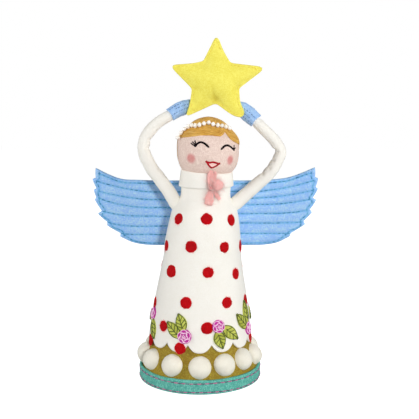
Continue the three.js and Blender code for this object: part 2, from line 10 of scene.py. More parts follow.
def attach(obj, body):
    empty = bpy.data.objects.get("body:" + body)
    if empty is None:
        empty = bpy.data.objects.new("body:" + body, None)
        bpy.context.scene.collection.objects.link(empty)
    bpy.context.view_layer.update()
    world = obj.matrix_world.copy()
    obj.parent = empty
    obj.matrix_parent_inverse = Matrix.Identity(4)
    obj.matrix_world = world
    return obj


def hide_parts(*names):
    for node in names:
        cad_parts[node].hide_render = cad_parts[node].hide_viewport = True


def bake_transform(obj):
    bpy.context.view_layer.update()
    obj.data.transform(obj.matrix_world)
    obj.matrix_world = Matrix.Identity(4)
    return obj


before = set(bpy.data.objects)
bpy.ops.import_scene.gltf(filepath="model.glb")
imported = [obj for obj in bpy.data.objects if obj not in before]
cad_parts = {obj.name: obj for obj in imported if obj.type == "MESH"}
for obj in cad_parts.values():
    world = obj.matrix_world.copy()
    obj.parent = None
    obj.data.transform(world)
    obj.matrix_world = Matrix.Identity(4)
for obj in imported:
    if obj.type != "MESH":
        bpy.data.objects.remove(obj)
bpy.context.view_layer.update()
scene = bpy.context.scene
mm = 0.001
print("frame loaded:", len(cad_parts), "nodes")

figure = {  # mm, +Z up, the face towards -Y
    "leanOffset": 14.5, "leanHeight": 290, "felt": 2.4, "fit": 0.3,
    "bell": [(37.7, 51.4), (75, 45.9), (115, 38.9), (141, 36.1), (165, 31.6), (171.5, 28), (178, 24.4),
        (187.7, 23.9)],
    "headRadius": 29.6, "headRise": 28.2, "headAxis": 8.2, "headMiddle": 226, "headDrop": 29.2,
    "headSquare": 3,
}
felt, fit, headWide, headRise = (figure[key] for key in ("felt", "fit", "headRadius", "headRise"))
headAxis, headMiddle, headDrop = (figure[key] for key in ("headAxis", "headMiddle", "headDrop"))


# Shapes of the figure

bellHeights, bellRadii = np.array(figure["bell"], float).T
bellTop = figure["bell"][-1][0]
bellAbove = np.minimum(np.arange(len(bellHeights)) + 1, len(bellHeights) - 1)
bellBelow = np.maximum(np.arange(len(bellHeights)) - 1, 0)
bellRises = bellHeights[bellAbove] - bellHeights[bellBelow]
bellSlopes = (bellRadii[bellAbove] - bellRadii[bellBelow]) / bellRises


def arrays(*values):
    return np.broadcast_arrays(*[np.asarray(value, float) for value in values])


def unit(v):
    v = np.asarray(v, float)
    return v / np.maximum(np.linalg.norm(v, axis=-1, keepdims=True), 1e-9)


def fullTurn(count):  # even steps round a circle
    return np.arange(count) / count * 2 * math.pi


def hermite(spots, values, slopes, s):  # smooth curve with these values and slopes at the spots
    i = np.clip(np.searchsorted(spots, s, side="right") - 1, 0, len(spots) - 2)
    shape = np.shape(s) + (1,) * (values.ndim - 1)
    h = (spots[i + 1] - spots[i]).reshape(shape)
    u = (s - spots[i]).reshape(shape) / h
    return (values[i] * (1 + 2 * u) * (1 - u) ** 2 + slopes[i] * h * u * (1 - u) ** 2
            + values[i + 1] * u ** 2 * (3 - 2 * u) - slopes[i + 1] * h * u ** 2 * (1 - u))


def lineLength(line):  # length from the start of a line to each of its points
    return np.concatenate([[0], np.cumsum(np.linalg.norm(np.diff(line, axis=0), axis=1))])


def alongLine(line, length, s):  # places on a flat line at these lengths from its start
    return np.stack([np.interp(s, length, line[:, 0]), np.interp(s, length, line[:, 1])], -1)


def smoothPath(points, count):  # even steps on a smooth curve through the points
    p = np.array(points, float)
    t = lineLength(p)
    return hermite(t, p, np.gradient(p, t, axis=0), np.linspace(0, t[-1], count))


def bellRadius(z):
    return hermite(bellHeights, bellRadii, bellSlopes, np.asarray(z, float))


def leanAt(z):
    return figure["leanOffset"] * (np.asarray(z, float) / figure["leanHeight"]) ** 2


def roundAxis(axis, turn, radius, z):  # turn 0 at the front
    turn, radius, z = arrays(turn, radius, z)
    return np.stack([radius * np.sin(turn) + axis(z), -radius * np.cos(turn), z], -1)


turnedPoint = partial(roundAxis, leanAt)
headPoint = partial(roundAxis, lambda z: headAxis)  # the head stands upright on the leaning dress


def onBell(turn, z, lift=0.0):
    return turnedPoint(turn, bellRadius(z) + lift, z)


def outwards(turn, slope):  # square to an upright form whose radius changes by this slope
    return unit(np.stack([np.sin(turn), -np.cos(turn), -slope], -1))


def bellNormal(turn, z):
    turn, z = arrays(turn, z)
    return outwards(turn, bellRadius(z + 0.5) - bellRadius(z - 0.5))


def spun(turns, lies, spin):  # a direction along the surface, turned by spin from level
    level = np.stack([np.cos(turns), np.sin(turns), turns * 0], -1)
    return level * np.cos(spin)[:, None] + np.cross(lies, level) * np.sin(spin)[:, None]


def headRadius(z):
    z, square = np.asarray(z, float), figure["headSquare"]
    below = np.clip((headMiddle - z) / headDrop, 0, 1)
    lower = headWide * (1 - below ** square) ** (1 / square)
    upper = headWide * np.sqrt(np.maximum(1 - ((z - headMiddle) / headRise) ** 2, 0))
    return np.where(z < headMiddle, lower, upper)


def onHead(turn, z, lift=0.0):  # a place over the head, and the way out there
    turn, z = arrays(turn, z)
    step = 0.05
    slope = (headRadius(z + step) - headRadius(z - step)) / (2 * step)
    place = headPoint(turn, headRadius(z), z)
    axes = np.array([headWide, headWide, headRise])
    dome = unit((place - headPoint(0, 0, headMiddle)) / axes ** 2)
    out = np.where((z > headMiddle)[..., None], dome, outwards(turn, slope))
    return place + out * np.asarray(lift, float)[..., None], out


def lumps(points, size, seed):  # soft bumps from -1 to 1, about this many mm across
    shift = Vector((seed * 7.3, seed * 3.1, seed * 5.7))
    flat = np.asarray(points, float).reshape(-1, 3) / size
    return np.array([noise.noise(Vector(p) + shift) for p in flat]).reshape(np.shape(points)[:-1])


def bumpy(points, waves, shift=0, start=0):  # height, size and seed of each wave
    return sum((height * lumps(points, size, seed + shift) for height, size, seed in waves), start)


def nearest(points, samples):  # distance of each point to the nearest sample
    best = np.full(len(points), 1e9)
    for start in range(0, len(samples), 200):
        part = samples[start:start + 200]
        best = np.minimum(best, np.linalg.norm(points[:, None] - part[None], axis=-1).min(1))
    return best


def ramp(value, start, end):  # 0 at the start, 1 at the end
    return np.clip((value - start) / (end - start), 0, 1)


# Meshes

def pieceFrom(name, mesh):
    obj = bpy.data.objects.new(name, mesh)
    mesh.name = name
    scene.collection.objects.link(obj)
    return obj


def makePiece(name, points, faces, material=None):
    mesh = bpy.data.meshes.new(name)
    mesh.from_pydata([tuple(p) for p in np.asarray(points, float).reshape(-1, 3) * mm], [], faces)
    mesh.shade_smooth()
    if material:
        mesh.materials.append(material)
    return pieceFrom(name, mesh)


def drop(*objs):
    for obj in objs:
        bpy.data.objects.remove(obj)


def joinPieces(target, *others):
    chosen = [target, *others]
    with bpy.context.temp_override(active_object=target, object=target, selected_objects=chosen,
                                   selected_editable_objects=chosen):
        bpy.ops.object.join()
    return target


def getPlaces(obj):
    return np.array([tuple(v.co) for v in obj.data.vertices]) / mm


def setPlaces(obj, points):
    obj.data.vertices.foreach_set("co", (points * mm).astype(np.float32).ravel())
    obj.data.update()


def setLayer(obj, name, values):  # one value for each point of the mesh
    obj.data.attributes.new(name, "FLOAT", "POINT").data.foreach_set("value", values.astype(np.float32))


def faceOutwards(obj):
    mesh = bmesh.new()
    mesh.from_mesh(obj.data)
    bmesh.ops.recalc_face_normals(mesh, faces=mesh.faces)
    mesh.to_mesh(obj.data)
    mesh.free()


def icoBall(subdivisions):
    mesh = bmesh.new()
    bmesh.ops.create_icosphere(mesh, subdivisions=subdivisions, radius=1)
    points = np.array([tuple(v.co) for v in mesh.verts])
    faces = [tuple(v.index for v in face.verts) for face in mesh.faces]
    mesh.free()
    return points, faces


def ringed(rings):  # rings of equal length, closed round, with a single point allowed at either end
    faces, starts, count = [], [], 0
    for ring in rings:
        starts.append(count)
        count += len(ring)
    sides = max(len(ring) for ring in rings)
    for i in range(len(rings) - 1):
        for k in range(sides):
            n = (k + 1) % sides
            a, b = (starts[i], starts[i]) if len(rings[i]) == 1 else (starts[i] + k, starts[i] + n)
            d, c = (starts[i + 1],) * 2 if len(rings[i + 1]) == 1 else (starts[i + 1] + k, starts[i + 1] + n)
            faces.append((a, c, d) if a == b else (a, b, c) if c == d else (a, b, c, d))
    return np.concatenate([np.asarray(ring, float).reshape(-1, 3) for ring in rings]), faces


def bridged(starts, count):  # quads between loops of points that begin at these numbers
    return [(a + k, a + (k + 1) % count, b + (k + 1) % count, b + k)
            for a, b in zip(starts[:-1], starts[1:]) for k in range(count)]


def looped(rings):  # rings that close on the first again
    columns = len(rings[0])
    return np.concatenate(rings), bridged([*range(0, len(rings) * columns, columns), 0], columns)


def twoSided(faces, count):  # the same faces again, turned over, for a second layer of points
    return [tuple(f) for f in faces] + [tuple(count + k for k in f[::-1]) for f in faces]


def tubeRings(path, radii, side, sides=20, flat=1.0):  # side: a direction square to the path
    along = unit(np.gradient(path, axis=0))
    across = unit(np.cross(along, side))
    upright = np.cross(across, along)
    turns = fullTurn(sides)
    radii = np.broadcast_to(np.asarray(radii, float), (len(path),))[:, None, None]
    wide = across[:, None] * np.cos(turns)[None, :, None]
    deep = upright[:, None] * np.sin(turns)[None, :, None] * flat
    return path[:, None] + radii * (wide + deep)


def filled(outline, extra, loops=()):  # triangles inside an outline in the plane, through extra points
    points = [Vector(p) for p in outline] + [Vector(p) for p in extra]
    edges = []
    start = len(outline)
    for size in loops:  # the first extra points are closed loops of these sizes
        edges += [(start + k, start + (k + 1) % size) for k in range(size)]
        start += size
    verts, _, faces, *_ = geometry.delaunay_2d_cdt(points, edges, [list(range(len(outline)))], 1, 1e-5)
    return np.array([tuple(v) for v in verts]), [tuple(f) for f in faces]


def insideOutline(points, outline):
    x, y = points[:, 0], points[:, 1]
    result = np.zeros(len(points), bool)
    for (x0, y0), (x1, y1) in zip(outline, np.roll(outline, -1, axis=0)):
        crosses = (y0 > y) != (y1 > y)
        with np.errstate(divide="ignore", invalid="ignore"):
            result ^= crosses & (x < (x1 - x0) * (y - y0) / (y1 - y0) + x0)
    return result


def staggered(outline, spacing):  # points on a triangle grid over the outline's box
    (x0, y0), (x1, y1) = outline.min(0), outline.max(0)
    rows = np.arange(y0, y1, spacing * 0.866)
    columns = np.arange(x0, x1, spacing)
    return np.array([(x + (i % 2) * spacing / 2, y) for i, y in enumerate(rows) for x in columns])


# Geometry node trees

def addNode(tree, kind, settings=None, inputs=None):
    made = tree.nodes.new(kind)
    for name, value in (settings or {}).items():
        setattr(made, name, value)
    for name, value in (inputs or {}).items():
        if isinstance(value, bpy.types.NodeSocket):
            tree.links.new(value, made.inputs[name])
        else:
            made.inputs[name].default_value = value
    return made


def nodeOut(tree, kind, settings=None, inputs=None, out=0):
    return addNode(tree, kind, settings, inputs).outputs[out]


def calc(tree, operation, a, b):
    return nodeOut(tree, "ShaderNodeMath", {"operation": operation}, {0: a, 1: b})


def attribute(tree, name, kind):
    return nodeOut(tree, "GeometryNodeInputNamedAttribute", {"data_type": kind}, {"Name": name}, "Attribute")


def randomValue(tree, kind, least, most, seed):
    first, out = (0, 0) if kind == "FLOAT_VECTOR" else (2, 1)
    ends = {first: least, first + 1: most, 8: seed}
    return nodeOut(tree, "FunctionNodeRandomValue", {"data_type": kind}, ends, out)


def startTree(name, **kinds):  # the labels of the inputs of each kind
    tree = bpy.data.node_groups.new(name, "GeometryNodeTree")
    tree.interface.new_socket("Geometry", in_out="INPUT", socket_type="NodeSocketGeometry")
    for kind, labels in kinds.items():
        for label in labels.split():
            tree.interface.new_socket(label, in_out="INPUT", socket_type="NodeSocket" + kind)
    tree.interface.new_socket("Geometry", in_out="OUTPUT", socket_type="NodeSocketGeometry")
    return tree, addNode(tree, "NodeGroupInput").outputs


def endTree(tree, material, **placed):  # an instance at each point, as one smooth mesh
    instances = nodeOut(tree, "GeometryNodeInstanceOnPoints", inputs=placed)
    whole = nodeOut(tree, "GeometryNodeRealizeInstances", inputs={"Geometry": instances})
    soft = nodeOut(tree, "GeometryNodeSetShadeSmooth", inputs={0: whole})
    painted = nodeOut(tree, "GeometryNodeSetMaterial", inputs={"Geometry": soft, "Material": material})
    addNode(tree, "NodeGroupOutput", inputs={0: painted})
    return tree


def laidAlong(tree, along, lie):  # X along the path, Z away from the cloth
    kind = "FunctionNodeAlignRotationToVector"
    first = nodeOut(tree, kind, {"axis": "X"}, {"Vector": along})
    return nodeOut(tree, kind, {"axis": "Z", "pivot_axis": "X"}, {"Rotation": first, "Vector": lie})


def arch(tree, ends, radius, sides, steps):  # a thread through a start, a middle and an end
    corners = [nodeOut(tree, "ShaderNodeCombineXYZ", inputs={0: x, 2: z}) for x, z in ends]
    places = dict(zip(("Start", "Middle", "End"), corners))
    line = nodeOut(tree, "GeometryNodeCurveQuadraticBezier", inputs={"Resolution": steps, **places})
    ring = nodeOut(tree, "GeometryNodeCurvePrimitiveCircle", inputs={"Resolution": sides, "Radius": radius})
    inputs = {"Curve": line, "Profile Curve": ring, "Fill Caps": True}
    return nodeOut(tree, "GeometryNodeCurveToMesh", inputs=inputs)


def buildStitchTree():  # stitches along the edges of a mesh that holds paths
    sizes = "Length Pitch Radius Rise Jitter"
    tree, given = startTree("stitchRun", Float=sizes, Int="Seed", Material="Material")
    curve = nodeOut(tree, "GeometryNodeMeshToCurve", inputs={"Mesh": given["Geometry"]})
    pitch = {"Curve": curve, "Length": given["Pitch"]}
    steps = nodeOut(tree, "GeometryNodeResampleCurve", {"mode": "LENGTH"}, pitch)
    half, back = (calc(tree, "MULTIPLY", given["Length"], share) for share in (0.5, -0.5))
    sunk = calc(tree, "MULTIPLY", given["Radius"], -0.8)
    top = calc(tree, "MULTIPLY", given["Rise"], 2.0)
    stitch = arch(tree, ((back, sunk), (0.0, top), (half, sunk)), given["Radius"], 6, 4)
    turn = laidAlong(tree, nodeOut(tree, "GeometryNodeInputTangent"), attribute(tree, "lie", "FLOAT_VECTOR"))
    least, most = (calc(tree, way, 1.0, given["Jitter"]) for way in ("SUBTRACT", "ADD"))
    size = randomValue(tree, "FLOAT", least, most, given["Seed"])
    return endTree(tree, given["Material"], Points=steps, Instance=stitch, Rotation=turn, Scale=size)


def buildPlaceTree():  # one shape at each point, by the point's own lie, direction and size
    tree, given = startTree("placeEach", Object="Shape", Material="Material")
    chosen = {"Object": given["Shape"], "As Instance": True}
    shape = nodeOut(tree, "GeometryNodeObjectInfo", inputs=chosen, out="Geometry")
    turn = laidAlong(tree, *[attribute(tree, name, "FLOAT_VECTOR") for name in ("along", "lie")])
    size = attribute(tree, "size", "FLOAT")
    points = given["Geometry"]
    return endTree(tree, given["Material"], Points=points, Instance=shape, Rotation=turn, Scale=size)


def buildFuzzTree():  # loose wool fibres standing on a surface
    tree, given = startTree("woolFuzz", Float="Density Length Radius Tilt", Int="Seed", Material="Material")
    spread = addNode(tree, "GeometryNodeDistributePointsOnFaces", {"distribute_method": "RANDOM"},
                     {"Mesh": given["Geometry"], "Density": given["Density"], "Seed": given["Seed"]}).outputs
    bent = calc(tree, "MULTIPLY", given["Length"], 0.35)
    root = calc(tree, "MULTIPLY", given["Length"], -0.15)
    fibre = arch(tree, ((0.0, root), (bent, bent), (given["Length"], bent)), given["Radius"], 3, 3)
    full = nodeOut(tree, "ShaderNodeCombineXYZ", inputs={0: given["Tilt"], 1: given["Tilt"], 2: math.pi})
    lean = nodeOut(tree, "ShaderNodeVectorMath", {"operation": "SCALE"}, {0: full, "Scale": -1.0})
    swing = randomValue(tree, "FLOAT_VECTOR", lean, full, given["Seed"])
    turned = nodeOut(tree, "FunctionNodeEulerToRotation", inputs={0: swing})
    local = {"rotation_space": "LOCAL"}
    turn = nodeOut(tree, "FunctionNodeRotateRotation", local, {0: spread["Rotation"], 1: turned})
    size = randomValue(tree, "FLOAT", 0.45, 1.25, given["Seed"])
    points = spread["Points"]
    return endTree(tree, given["Material"], Points=points, Instance=fibre, Rotation=turn, Scale=size)


stitchTree = buildStitchTree()
placeTree = buildPlaceTree()
fuzzTree = buildFuzzTree()


def runTree(obj, tree, values):
    modifier = obj.modifiers.new(tree.name, "NODES")
    modifier.node_group = tree
    for item in tree.interface.items_tree:
        if item.in_out == "INPUT" and item.name in values:
            modifier[item.identifier] = values[item.name]
    mesh = bpy.data.meshes.new_from_object(obj.evaluated_get(bpy.context.evaluated_depsgraph_get()))
    obj.modifiers.remove(modifier)
    return mesh


def guide(name, points, edges, **values):  # points and edges with attributes for a tree
    mesh = bpy.data.meshes.new(name)
    mesh.from_pydata([tuple(p) for p in np.asarray(points, float) * mm], edges, [])
    for label, data in values.items():
        data = np.asarray(data, np.float32)
        kind, field = ("FLOAT_VECTOR", "vector") if data.ndim == 2 else ("FLOAT", "value")
        mesh.attributes.new(label, kind, "POINT").data.foreach_set(field, data.ravel())
    return pieceFrom(name, mesh)


def inMetres(look, *keys):
    return {key.title(): look[key] * mm for key in keys}


def sew(name, paths, look, material, seed=1):  # paths: (points, lies, closed)
    points, lies, edges = [], [], []
    for path, lie, closed in paths:
        start, count = len(points), len(path)
        points += list(path)
        lies += list(np.broadcast_to(lie, np.shape(path)))
        edges += [(start + k, start + k + 1) for k in range(count - 1)]
        if closed:
            edges.append((start + count - 1, start))
    lines = guide(name + "Lines", points, edges, lie=lies)
    values = inMetres(look, "length", "pitch", "radius", "rise")
    values.update({"Jitter": look["jitter"], "Seed": seed, "Material": material})
    mesh = runTree(lines, stitchTree, values)
    drop(lines)
    return pieceFrom(name, mesh)


def placeEach(name, shape, points, lies, alongs, sizes, material):
    spots = guide(name + "Spots", points, [], lie=lies, along=alongs, size=sizes)
    mesh = runTree(spots, placeTree, {"Shape": shape, "Material": material})
    drop(spots, shape)
    return pieceFrom(name, mesh)


def fuzzOn(name, obj, look, material, seed):
    values = {**inMetres(look, "length", "radius"), "Density": look["perCm"] * 1e4, "Tilt": look["tilt"]}
    return pieceFrom(name, runTree(obj, fuzzTree, {**values, "Seed": seed, "Material": material}))


# Materials

def paint(r, g, b):  # a colour as seen on screen
    shares = [c / 255 for c in (r, g, b)]
    return (*[s / 12.92 if s < 0.0404 else ((s + 0.055) / 1.055) ** 2.4 for s in shares], 1.0)


def blendColor(tree, factor, a, b):
    return nodeOut(tree, "ShaderNodeMix", {"data_type": "RGBA"}, {0: factor, 6: a, 7: b}, 2)


def remap(tree, value, low, high, to0=0.0, to1=1.0):
    return nodeOut(tree, "ShaderNodeMapRange", {}, {0: value, 1: low, 2: high, 3: to0, 4: to1})


def objectPlace(tree):
    return nodeOut(tree, "ShaderNodeTexCoord", out="Object")


def noiseOf(tree, place, scale, detail=2.0, rough=0.5, distortion=0.0):
    inputs = {"Vector": place, "Scale": scale, "Detail": detail, "Roughness": rough, "Distortion": distortion}
    return nodeOut(tree, "ShaderNodeTexNoise", inputs=inputs, out="Fac")


def stretched(tree, place, scale, turn=(0, 0, 0)):
    return nodeOut(tree, "ShaderNodeMapping", inputs={"Vector": place, "Rotation": turn, "Scale": scale})


def buildFeltGroup():  # matted wool: cloudy colour, crossing fibres, fine pits
    tree = bpy.data.node_groups.new("feltGrain", "ShaderNodeTree")
    for label, kind, value in (("Color", "Color", (1, 1, 1, 1)), ("Deep", "Color", (0.5, 0.5, 0.5, 1)),
                               ("Cloud", "Float", 0.5), ("Grain", "Float", 0.5), ("Fibre", "Float", 1.0)):
        socket = tree.interface.new_socket(label, in_out="INPUT", socket_type="NodeSocket" + kind)
        socket.default_value = value
    for label, kind in (("Color", "Color"), ("Roughness", "Float"), ("Height", "Float")):
        tree.interface.new_socket(label, in_out="OUTPUT", socket_type="NodeSocket" + kind)
    given = addNode(tree, "NodeGroupInput").outputs
    place = objectPlace(tree)
    cloud = noiseOf(tree, place, 75.0, 5.0, 0.8)
    pits = noiseOf(tree, place, 1100.0, 3.0, 0.7)
    strands = []
    for turn, size in (((0.4, 0.2, 0.9), (240, 1500, 1500)), ((1.1, 0.7, -0.5), (1500, 260, 1400)),
                       ((-0.6, 1.3, 0.3), (1400, 1500, 250))):
        strands.append(noiseOf(tree, stretched(tree, place, size, turn), 1.0, 2.0, 0.55, 0.6))
    fibre = calc(tree, "MAXIMUM", calc(tree, "MAXIMUM", strands[0], strands[1]), strands[2])
    fibre = remap(tree, fibre, 0.45, 0.75)
    clouded = calc(tree, "MULTIPLY", calc(tree, "SUBTRACT", cloud, 0.5), given["Cloud"])
    grained = calc(tree, "MULTIPLY", calc(tree, "SUBTRACT", fibre, 0.5), given["Grain"])
    mottled = calc(tree, "ADD", 0.5, calc(tree, "ADD", clouded, grained))
    share = nodeOut(tree, "ShaderNodeClamp", inputs={0: mottled})
    color = blendColor(tree, share, given["Deep"], given["Color"])
    rough = remap(tree, pits, 0.3, 0.7, 0.82, 1.0)
    fibres = calc(tree, "MULTIPLY", fibre, given["Fibre"])
    height = calc(tree, "ADD", fibres, calc(tree, "MULTIPLY", pits, 0.6))
    addNode(tree, "NodeGroupOutput", inputs={0: color, 1: rough, 2: height})
    return tree


feltGroup = buildFeltGroup()


def startMaterial(name, sheen=0.0, sheenTint=(1, 1, 1, 1), specular=0.15):
    material = bpy.data.materials.new(name)
    material.use_nodes = True
    shader = material.node_tree.nodes["Principled BSDF"]
    shader.inputs["Specular IOR Level"].default_value = specular
    shader.inputs["Sheen Weight"].default_value = sheen
    shader.inputs["Sheen Roughness"].default_value = 0.45
    shader.inputs["Sheen Tint"].default_value = sheenTint
    return material, material.node_tree, shader


def coverWith(tree, shader, color, rough, height=None, strength=0.0, depth=0.0):
    links = {"Base Color": color, "Roughness": rough}
    if height:
        bump = {"Height": height, "Strength": strength, "Distance": depth * mm}
        links["Normal"] = nodeOut(tree, "ShaderNodeBump", inputs=bump)
    for name, socket in links.items():
        tree.links.new(socket, shader.inputs[name])


def feltMaterial(name, color, deep, cloud=0.9, grain=0.7, sheen=0.18, bump=0.45, mask=None):
    color, deep = paint(*color), paint(*deep)
    material, tree, shader = startMaterial(name, sheen, color)
    values = {"Color": color, "Deep": deep, "Cloud": cloud, "Grain": grain, "Fibre": 1.0}
    wool = addNode(tree, "ShaderNodeGroup", {"node_tree": feltGroup}, values).outputs
    base = wool["Color"]
    for layer, tone in (mask or {}).items():  # a second colour where the mesh says: blush felted into the face, and painted shade in the wing grooves, star folds and bow knot
        share = nodeOut(tree, "ShaderNodeAttribute", {"attribute_name": layer}, out="Fac")
        base = blendColor(tree, share, base, paint(*tone))
    coverWith(tree, shader, base, wool["Roughness"], wool["Height"], bump, 0.35)
    return material


def threadMaterial(name, color, deep, twist=900.0, specular=0.3):
    color, deep = paint(*color), paint(*deep)
    material, tree, shader = startMaterial(name, 0.1 if specular > 0.1 else 0.0, color, specular)
    tone = noiseOf(tree, objectPlace(tree), twist)
    base = blendColor(tree, remap(tree, tone, 0.35, 0.65), deep, color)
    coverWith(tree, shader, base, remap(tree, tone, 0.3, 0.7, 0.55, 0.8), tone, 0.4, 0.2)
    return material


def hairMaterial():  # combed wool, streaked along the mesh's own map
    color, deep, light = paint(232, 184, 88), paint(166, 106, 22), paint(248, 214, 134)
    material, tree, shader = startMaterial("hairFelt", 0.25, color, 0.25)
    place = nodeOut(tree, "ShaderNodeUVMap", {"uv_map": "comb"})
    streak = noiseOf(tree, stretched(tree, place, (5.0, 150.0, 1.0)), 1.0, 4.0, 0.65, 0.4)
    lock = noiseOf(tree, stretched(tree, place, (3.0, 26.0, 1.0)), 1.0)
    shade = blendColor(tree, remap(tree, streak, 0.38, 0.6), deep, color)
    shade = blendColor(tree, remap(tree, lock, 0.52, 0.75, 0.0, 0.8), shade, light)
    coverWith(tree, shader, shade, remap(tree, streak, 0.3, 0.7, 0.6, 0.85), streak, 0.5, 0.4)
    return material


def pearlMaterial():
    material, tree, shader = startMaterial("pearlGloss", specular=0.5)
    swirl = noiseOf(tree, objectPlace(tree), 260.0, 3.0, distortion=1.5)
    # painted rim shade: seen edge-on, each pearl turns a darker, pinker tone
    facing = nodeOut(tree, "ShaderNodeLayerWeight", inputs={"Blend": 0.35}, out="Facing")
    body = blendColor(tree, remap(tree, swirl, 0.35, 0.65), paint(246, 240, 226), paint(252, 250, 244))
    body = blendColor(tree, facing, body, paint(232, 214, 206))
    coverWith(tree, shader, body, remap(tree, swirl, 0.3, 0.7, 0.14, 0.28), swirl, 0.1, 0.1)
    shader.inputs["Coat Weight"].default_value = 0.6
    shader.inputs["Coat Roughness"].default_value = 0.08
    return material


def wireMaterial():
    material, tree, shader = startMaterial("armWire", specular=0.5)
    lines = noiseOf(tree, stretched(tree, objectPlace(tree), (300.0, 4000.0, 4000.0)), 1.0)
    color = blendColor(tree, remap(tree, lines, 0.3, 0.7), paint(128, 128, 130), paint(186, 186, 188))
    coverWith(tree, shader, color, remap(tree, lines, 0.3, 0.7, 0.28, 0.5))
    shader.inputs["Metallic"].default_value = 1.0
    return material


whiteFelt = feltMaterial("whiteFelt", (251, 249, 243), (242, 238, 228), 0.8, 0.5, bump=0.35)
oliveFelt = feltMaterial("oliveFelt", (178, 160, 62), (140, 112, 38), 2.4, 1.8)
tealFelt = feltMaterial("tealFelt", (128, 212, 196), (80, 166, 152), 2.4, 2.2)
ballFelt = feltMaterial("ballFelt", (249, 246, 234), (237, 231, 214), 0.8, 0.6, bump=0.4)
skinFelt = feltMaterial("skinFelt", (246, 226, 215), (226, 200, 188), 1.2, 2.4, bump=0.35,
                        mask={"blush": (214, 138, 134)})
lipFelt = feltMaterial("lipFelt", (255, 226, 218), (252, 204, 196), bump=0.3)
# the dark rose round the knot is painted shade
pinkWool = feltMaterial("pinkWool", (255, 208, 203), (255, 186, 181), 1.6, 1.5, 0.5, 0.4,
                        {"knotShade": (206, 108, 108)})
fuzzWool = feltMaterial("fuzzWool", (255, 228, 223), (255, 212, 206), 1.2, 1.4, 0.8, 0.2)
# the darker blue is painted shade in the quilted grooves along the stitch lines; the wing's rim strip takes a
# share of it too
skyFelt = feltMaterial("skyFelt", (188, 228, 255), (152, 196, 255), 2.6, 2.8, bump=0.6,
                       mask={"groove": (84, 176, 232)})
mittFelt = feltMaterial("mittFelt", (184, 216, 252), (148, 188, 240), 1.2, 1.4, bump=0.5)
# the darker yellow is painted shade in the folds by the bottom notch and on the legs
starFelt = feltMaterial("starFelt", (251, 243, 120), (238, 224, 88), 1.6, 1.2,
                        mask={"crease": (216, 196, 62)})
leafFelt = feltMaterial("leafFelt", (216, 222, 112), (166, 172, 62), 2.6, 0.8)
roseFelt = feltMaterial("roseFelt", (214, 66, 178), (174, 36, 138), 1.2, 0.8)
redFelt = feltMaterial("redFelt", (208, 5, 20), (162, 1, 7), 1.6, 1.2, 0.02)
redHairs = feltMaterial("redHairs", (255, 132, 132), (250, 92, 98), 1.2, 1.0, 0.1, 0.1)
hairFelt = hairMaterial()
pearlGloss = pearlMaterial()
blackThread = threadMaterial("blackThread", (26, 14, 18), (10, 5, 8), specular=0.06)
lipThread = threadMaterial("lipThread", (194, 32, 44), (140, 14, 28), specular=0.1)
greenThread = threadMaterial("greenThread", (92, 104, 36), (60, 72, 20))
petalThread = threadMaterial("petalThread", (255, 230, 246), (252, 200, 236))
mauveThread = threadMaterial("mauveThread", (214, 110, 158), (170, 84, 128))
duskThread = threadMaterial("duskThread", (112, 104, 126), (76, 72, 92))
skyThread = threadMaterial("skyThread", (88, 176, 222), (24, 104, 160), twist=400.0)
navyThread = threadMaterial("navyThread", (74, 108, 166), (44, 70, 122))
starThread = threadMaterial("starThread", (242, 220, 88), (224, 192, 60))
whiteThread = threadMaterial("whiteThread", (246, 242, 232), (226, 220, 206))
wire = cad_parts["arm_wire"].data
wire.materials.clear()
wire.materials.append(wireMaterial())
print("materials ready:", len(bpy.data.materials))


# Dress, a felted bell with a scalloped edge

dressLook = {
    "scallops": 14, "perScallop": 18, "edge": 37.7, "rise": 7.3, "roundness": 2.5, "plain": 48,
    "top": 196.5, "waves": [(0.45, 26, 3), (0.16, 7, 5)], "even": (172, 184), "drawnIn": 2, "crown": 19.5,
    "crownInside": 17.5, "lip": 0.8, "flat": (0.306, 0.174), "area": 0.0362, "edgeRows": 9, "rows": 62,
    "drawnOver": 15, "liningStep": 3,
}


def scallopEdge(turn):
    place = np.asarray(turn) / (2 * math.pi) * dressLook["scallops"]
    across = 2 * np.abs(place - np.round(place))
    return dressLook["edge"] + dressLook["rise"] * across ** dressLook["roundness"]


def makeDress():
    columns, top = dressLook["scallops"] * dressLook["perScallop"], dressLook["top"]
    turns = fullTurn(columns)
    edge, plain = scallopEdge(turns), dressLook["plain"]
    heights = [edge + (plain - edge) * share for share in np.linspace(0, 1, dressLook["edgeRows"])]
    heights += [np.full(columns, z) for z in np.linspace(plain, top - felt, dressLook["rows"])[1:]]
    outer, inner = [], []
    for z in heights:
        wide = bellRadius(np.clip(z, 0, bellTop))
        line = turnedPoint(turns, wide, z)
        swell = bumpy(line, dressLook["waves"]) * (1 - ramp(z, *dressLook["even"]))
        drawn = (z - bellTop) / dressLook["drawnOver"] * dressLook["drawnIn"]
        wide = wide - np.clip(drawn, 0, dressLook["drawnIn"])
        outer.append(turnedPoint(turns, wide + swell, z))
        inner.append(turnedPoint(turns, wide + swell - felt, z))
    lip = (outer[0] + inner[0]) / 2 - np.array([0, 0, dressLook["lip"]])
    roof = turnedPoint(turns, dressLook["crown"], top)
    under = turnedPoint(turns, dressLook["crownInside"], top - felt)
    lining = inner[::-1][::dressLook["liningStep"]]
    if len(inner) % dressLook["liningStep"] != 1:
        lining.append(inner[0])
    rings = [turnedPoint([0], 0, top - felt), under, *lining, lip, *outer, roof, turnedPoint([0], 0, top)]
    return makePiece("dressBell", *ringed(rings), whiteFelt)


dressBell = makeDress()

